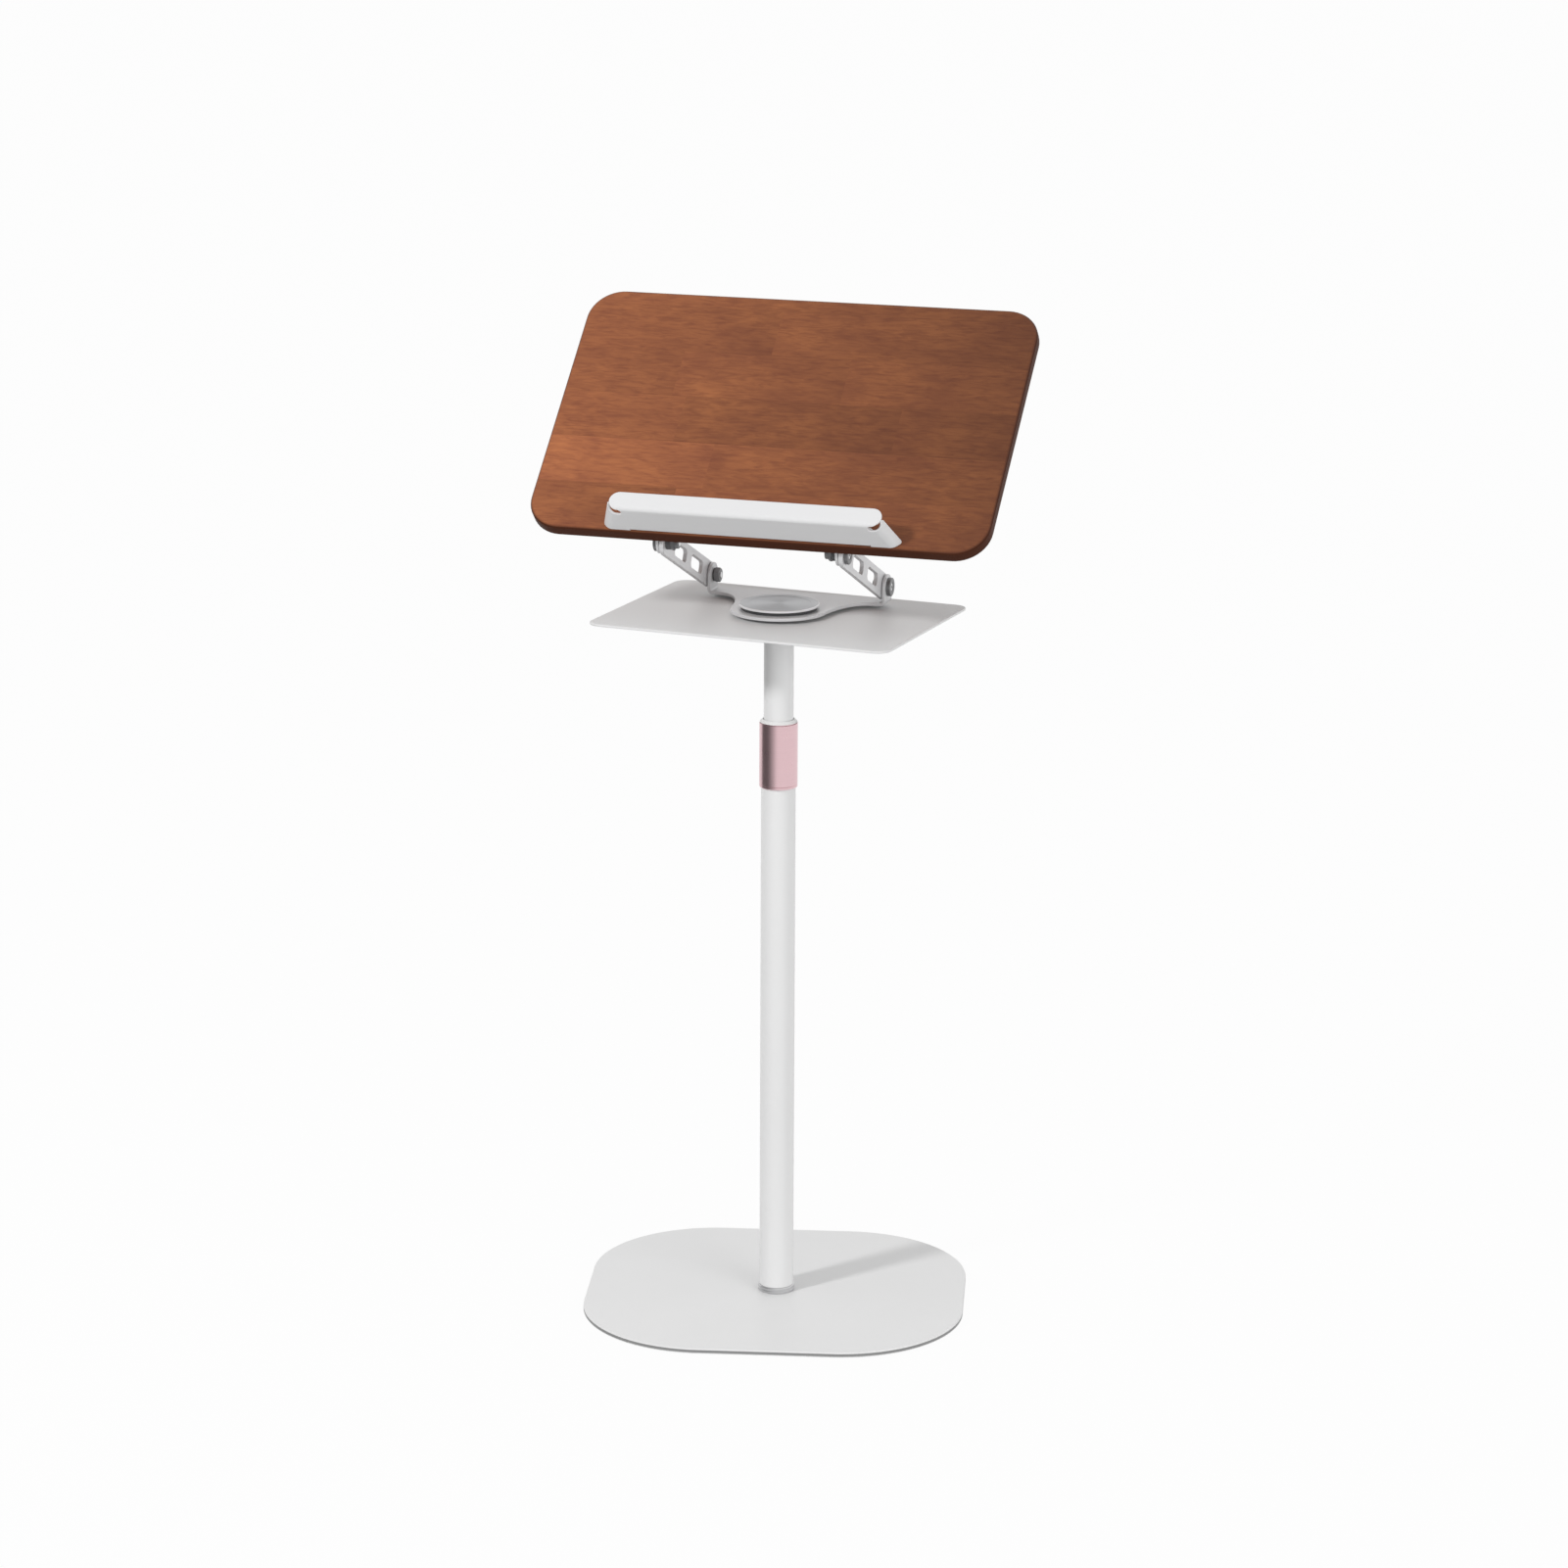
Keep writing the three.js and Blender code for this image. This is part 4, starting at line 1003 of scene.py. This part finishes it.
leaf_axes = axes(sideways, -up_board, -out_board)
for side in ("left", "right"):
    low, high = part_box(side + "_hinge_leaf")
    fold_at = leaf_width - leaf_fold - leaf_sheet
    fold_run = (leaf_fold + leaf_sheet / 2) * math.pi / 2
    flat_shift = fold_at + fold_run - leaf_fold - leaf_sheet
    leaf_top = -(leaf_rise + leaf_drop)
    corner_x = flat_shift + leaf_sheet
    ear_centre = (flat_shift + leaf_face, 0)
    ear_start = touching((corner_x, leaf_top), ear_centre, leaf_ear_radius, 1)
    ear_stop = touching((corner_x, leaf_drop), ear_centre, leaf_ear_radius, -1)
    flat_corners = [
        (corner_x, leaf_drop, 0),
        (0, leaf_drop, leaf_corner),
        (0, leaf_top, leaf_corner),
        (corner_x, leaf_top, 0),
    ]
    leaf_outline = rounded(flat_corners) + arc(ear_centre, leaf_ear_radius, ear_start, ear_stop)
    pin_opening = opening(*ear_centre, ear_hole, sides=32)
    leaf = plate(side + " hinge leaf", [leaf_outline, pin_opening], leaf_sheet, leaf_rim)
    fold(leaf, (fold_at, 0), (1, 0), math.pi / 2, leaf_sheet, leaf_fold)
    leaf_corner_place = upper_axis + out_board * leaf_face
    leaf_place = Matrix.Translation((low.x, leaf_corner_place.y, leaf_corner_place.z)) @ leaf_axes
    mount(side + "_hinge_leaf_folded", leaf, leaf_place, "board", "hinge_metal", arm_metal,
          side + "_hinge_leaf")

# Wood screws: low domed heads with a cross recess, three through each leaf into the back of the
# board and three through the flange of the ledge into its face.
screw_head_radius = 0.0032
screw_head_height = 0.0016
screw_shank_radius = 0.0016
recess_width = 0.0008
recess_length = 0.0036
recess_depth = 0.0009
recess_corner = 0.0001
recess_edge = 0.00002
screw_edge = 0.0002
screw_rim_height = screw_head_height * 0.45
screw_dome_radius = screw_head_radius * 0.62
screw_dome_height = screw_head_height * 0.98
screw_gap = 0.0003
leaf_screw_grip = 0.0098


def wood_screw(name, grip):
    """A screw along z: its head from 0 up, its shank down."""
    body = spun(name, [
        (0, -grip, 0),
        (screw_shank_radius, -grip + screw_shank_radius, 0),
        (screw_shank_radius, 0, 0),
        (screw_head_radius, 0, screw_edge),
        (screw_head_radius, screw_rim_height, screw_head_radius / 8),
        (screw_dome_radius, screw_dome_height, screw_head_radius / 3),
        (0, screw_head_height, 0),
    ], sides=48)
    for slot_width, slot_length in ((recess_width, recess_length), (recess_length, recess_width)):
        outline = rectangle(slot_width, slot_length, recess_corner)
        slot = plate("slot", [outline], screw_head_height, recess_edge, 1)
        slot.transform(Matrix.Translation((0, 0, screw_head_height - recess_depth)))
        body = carved(body, slot, "DIFFERENCE")
    return body


for name in [n for n in frame["nodes"] if n.endswith("_leaf_screw")]:
    low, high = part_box(name)
    seat = (low + high) / 2
    seat_height = leaf_face - leaf_sheet - screw_gap
    across_board = (seat - upper_axis).dot(up_board)
    seat_place = upper_axis + up_board * across_board + out_board * seat_height
    screw_place = Matrix.Translation((seat.x, seat_place.y, seat_place.z)) @ leaf_axes
    screw = wood_screw(name, leaf_screw_grip)
    mount(name + "_black", screw, screw_place, "board", "dark_steel", dark_steel, name)

# Book ledge: one white-coated sheet, 1.8 mm thick, cut flat and folded. A flange lies on the
# board, the shelf's ends curl up, and the lip stands between them with round ends. A slit
# with a round end parts each curl from the lip. Its white is a shade greyer than the base's,
# a painted shade that tones down the light its lip catches.
ledge_sheet = 0.0018
ledge_fold = 0.0015
ledge_back_fold = 0.0003
ledge_rim = 0.0004
ledge_depth = 0.029
ledge_back_half = 0.1215
ledge_front_half = 0.1114
ledge_lip_half = 0.1110
ledge_height = 0.0163
ledge_back_corner = 0.0015
ledge_front_corner = 0.0020
ledge_lip_corner = 0.0080
ledge_flange_half = 0.098
ledge_flange_height = 0.017
ledge_flange_corner = 0.005
ledge_side_slit = 0.0005
ledge_slit = 0.0014
ledge_slit_spread = 0.0040
ledge_gap = 0.0003
ledge_lift = 0.001
ledge_screw_grip = 0.0091
# A greyer copy of the white paint: painted shade.
ledge_shaded_paint = (0.68, 0.68, 0.685, 1)

curl = ledge_height / 2
quarter_turn = math.pi / 2
fold_height = ledge_sheet + ledge_fold
fold_run = (ledge_fold + ledge_sheet / 2) * quarter_turn
back_height = ledge_sheet + ledge_back_fold
back_run = (ledge_back_fold + ledge_sheet / 2) * quarter_turn
curl_run = (curl - ledge_sheet / 2) * quarter_turn
side_taper = (ledge_back_half - ledge_front_half) / ledge_depth
side_growth = curl_run - curl
lip_line = ledge_depth - fold_height
lip_end = lip_line + fold_run + ledge_height - fold_height
lip_middle = Vector((ledge_lip_half - ledge_lip_corner, lip_end - ledge_lip_corner))
slit_middle = lip_middle - Vector((0, ledge_slit_spread))
slit_radius = ledge_lip_corner + ledge_slit
tongue_end = ledge_depth - ledge_gap
flange_end = back_height - back_run - (ledge_flange_height - back_height)


def round_corner(before, corner, after, radius):
    """The arc of one round corner between two straight lines."""
    points = rounded([(*before, 0), (*corner, radius), (*after, 0)])
    return points[1:-1]


def on_lip(co):
    """Whether a point of the flat sheet belongs to the lip's side of the slits."""
    inner = abs(co.x) - lip_middle.x
    return inner < 0 or math.hypot(inner, co.y - lip_middle.y) < ledge_lip_corner + ledge_slit / 2


tongue_swing = math.asin((tongue_end - slit_middle.y) / slit_radius)
tongue_start = (slit_middle.x + slit_radius * math.cos(tongue_swing), tongue_end)
side_end = (ledge_front_half + side_taper * ledge_gap + side_growth, tongue_end)
back_end = (ledge_back_half + side_growth, 0)
flange_foot = (ledge_flange_half, flange_end)
slit_in = (ledge_flange_half, back_height)
slit_out = (ledge_flange_half + ledge_side_slit, back_height)
slit_mouth = (slit_out[0], 0)
slit_bottom = (lip_middle.y - ledge_lip_corner + slit_middle.y - slit_radius) / 2
slit_end_radius = lip_middle.y - ledge_lip_corner - slit_bottom
ledge_half = [Vector((0, flange_end))]
ledge_half += round_corner((0, flange_end), flange_foot, slit_in, ledge_flange_corner)
ledge_half += [Vector(slit_in), Vector(slit_out), Vector(slit_mouth)]
ledge_half += round_corner(slit_mouth, back_end, side_end, ledge_back_corner)
ledge_half += round_corner(back_end, side_end, tongue_start, ledge_front_corner)
ledge_half += arc(slit_middle, slit_radius, math.degrees(tongue_swing), -90)
ledge_half += arc((slit_middle.x, slit_bottom), slit_end_radius, -90, -270, steps=10)[1:-1]
ledge_half += arc(lip_middle, ledge_lip_corner, -90, 90, steps=32)
ledge_outline = ledge_half + [Vector((-p.x, p.y)) for p in reversed(ledge_half) if p.x > 0]

ledge_screws = [n for n in frame["nodes"] if n.endswith("_ledge_screw")]
ledge_screw_height = ledge_sheet + (ledge_flange_height - ledge_sheet) / 2
screw_hole_y = back_height - back_run - (ledge_screw_height - back_height)
ledge_openings = []
for name in ledge_screws:
    low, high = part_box(name)
    ledge_openings.append(opening((low.x + high.x) / 2, screw_hole_y, screw_shank_radius, sides=24))
ledge = plate("book ledge", [ledge_outline, *ledge_openings], ledge_sheet, ledge_rim)
for side in (-1, 1):
    curl_start, curl_way = (side * (ledge_back_half - curl), 0), (side, side_taper)
    fold(
        ledge, curl_start, curl_way, quarter_turn, ledge_sheet, curl - ledge_sheet,
        lambda co: not on_lip(co), steps=16,
    )
fold(ledge, (0, lip_line), (0, 1), quarter_turn, ledge_sheet, ledge_fold, on_lip)
flange_side = (slit_in[0] + slit_out[0]) / 2
fold(
    ledge, (0, back_height), (0, -1), quarter_turn, ledge_sheet, ledge_back_fold,
    lambda co: abs(co.x) < flange_side,
)
ledge_face = board_back + board_thickness + ledge_gap
ledge_foot = upper_axis + up_board * (ledge_lift - board_drop) + out_board * ledge_face
ledge_axes = axes(-sideways, out_board, up_board)
ledge_place = Matrix.Translation(ledge_foot) @ ledge_axes
ledge_shaded_coat = powder_coat("ledge powder coat with painted shade", ledge_shaded_paint, white_roughness)
mount("book_ledge_folded", ledge, ledge_place, "board", "white_coat", ledge_shaded_coat, "book_ledge")

ledge_screw_seat = upper_axis + out_board * (ledge_face + ledge_sheet + ledge_gap)
ledge_screw_seat += up_board * (ledge_lift - board_drop + ledge_screw_height)
for name in ledge_screws:
    low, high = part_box(name)
    screw_place = Matrix.Translation(ledge_screw_seat) @ Matrix.Translation(((low.x + high.x) / 2, 0, 0))
    screw = wood_screw(name, ledge_screw_grip)
    mount(name + "_bright", screw, screw_place @ board_axes, "board", "bright_steel", bright_steel, name)

# Studio: a white floor that keeps only the soft shadow under the base, and an even white surround.
# A large soft lamp stands at the right and a small one at the left, and a dark card at the left,
# with a faded edge, shows only in reflections.
floor_size = 30.0
floor_white = (0.50, 0.50, 0.50, 1)
floor_glow_share = 0.97
surround_strength = 0.64
key_power = 43.0
key_size = 0.35
key_distance = 3.0
key_turn = math.radians(-125.6)
key_rise = math.radians(33)
fill_power = 56.0
fill_size = 2.4
fill_distance = 3.5
fill_turn = math.radians(-32)
fill_rise = math.radians(6)
lamp_aim = Vector((0, 0, 0.45))
card_width = 1.8
card_height = 1.3
card_distance = 0.7
card_turn = math.radians(-136)
card_fade = 0.9
card_dark = 0.13
card_light = 0.95


def lamp(name, power, size, distance, turn, rise):
    """A round soft lamp that faces the middle of the stand."""
    data = bpy.data.lights.new(name, "AREA")
    data.shape = "DISK"
    data.size = size
    data.energy = power
    way = Vector((math.cos(turn) * math.cos(rise), math.sin(turn) * math.cos(rise), math.sin(rise)))
    made = placed(name, data)
    made.location = lamp_aim + way * distance
    made.rotation_euler = way.to_track_quat("Z", "Y").to_euler()
    made.visible_glossy = False


lamp("key_lamp", key_power, key_size, key_distance, key_turn, key_rise)
lamp("fill_lamp", fill_power, fill_size, fill_distance, fill_turn, fill_rise)


def studio_sheet(name, width, height):
    """A plain rectangle of the studio."""
    bm = bmesh.new()
    bmesh.ops.create_grid(bm, x_segments=1, y_segments=1, size=0.5)
    bmesh.ops.scale(bm, verts=bm.verts, vec=(width, height, 1))
    return placed(name, meshed(bm, name))


def emptied(data):
    """The node tree of a new material or world, without the nodes that it starts with."""
    data.use_nodes = True
    data.node_tree.nodes.clear()
    return data.node_tree


floor = studio_sheet("studio_floor", floor_size, floor_size)
floor_finish = bpy.data.materials.new("studio floor")
tree = emptied(floor_finish)
rays = node(tree, "LightPath").outputs
view_ray = reckoned(tree, "MAXIMUM", rays["Is Camera Ray"], rays["Is Glossy Ray"])
white = node(tree, "BsdfDiffuse", {"Color": floor_white}).outputs["BSDF"]
glow = node(tree, "Emission", {"Color": (1, 1, 1, 1), "Strength": 1.0}).outputs["Emission"]
shown = node(tree, "MixShader", {0: remapped(tree, view_ray, 0.0, floor_glow_share)})
tree.links.new(white, shown.inputs[1])
tree.links.new(glow, shown.inputs[2])
node(tree, "OutputMaterial", {"Surface": shown.outputs["Shader"]})
floor.data.materials.append(floor_finish)

world = bpy.data.worlds.new("studio")
bpy.context.scene.world = world
tree = emptied(world)
rays = node(tree, "LightPath").outputs
seen = reckoned(tree, "MAXIMUM", rays["Is Camera Ray"], rays["Is Glossy Ray"])
seen = reckoned(tree, "MAXIMUM", seen, rays["Is Transmission Ray"])
strength = remapped(tree, seen, surround_strength, 1.0)
surround = node(tree, "Background", {"Color": (1, 1, 1, 1), "Strength": strength})
node(tree, "OutputWorld", {"Surface": surround.outputs["Background"]})

card = studio_sheet("studio_card", card_width, card_height)
card_way = Vector((math.cos(card_turn), math.sin(card_turn), 0))
card.location = card_way * card_distance + Vector((0, 0, card_height / 2))
card.rotation_euler = card_way.to_track_quat("-Z", "Y").to_euler()
for ray in ("camera", "diffuse", "transmission", "shadow", "volume_scatter"):
    setattr(card, "visible_" + ray, False)
card_finish = bpy.data.materials.new("studio card")
tree = emptied(card_finish)
place = node(tree, "TexCoord").outputs["Object"]
across = node(tree, "SeparateXYZ", {"Vector": place}).outputs["X"]
card_edge = -card_width / 2
faded = remapped(tree, across, card_light, card_dark, card_edge, card_edge + card_fade)
grey = node(tree, "Emission", {"Color": (1, 1, 1, 1), "Strength": faded}).outputs["Emission"]
node(tree, "OutputMaterial", {"Surface": grey})
card.data.materials.append(card_finish)

# Camera: where the photograph was taken from, in front, a little to the right and above.
camera_turn = math.radians(17.81)
camera_back = 3.4829
camera_height = 1.3471
camera_pitch = 0.2553
camera_yaw = 0.0013
camera_roll = 0.0045
picture_width = 1601
focal_pixels = 4559.55
camera_data = bpy.data.cameras.new("camera")
camera_data.sensor_width = 36.0
camera_data.lens = focal_pixels / picture_width * camera_data.sensor_width
camera_data.clip_end = 100.0
camera = placed("camera", camera_data)
camera.matrix_world = (
    Matrix.Rotation(camera_turn, 4, "Z")
    @ Matrix.Translation((0, -camera_back, camera_height))
    @ Matrix.Rotation(-camera_yaw, 4, "Z")
    @ Matrix.Rotation(math.pi / 2 - camera_pitch, 4, "X")
    @ Matrix.Rotation(camera_roll, 4, "Z")
)
bpy.context.scene.camera = camera
bpy.context.scene.view_settings.view_transform = "Standard"

bpy.context.view_layer.update()
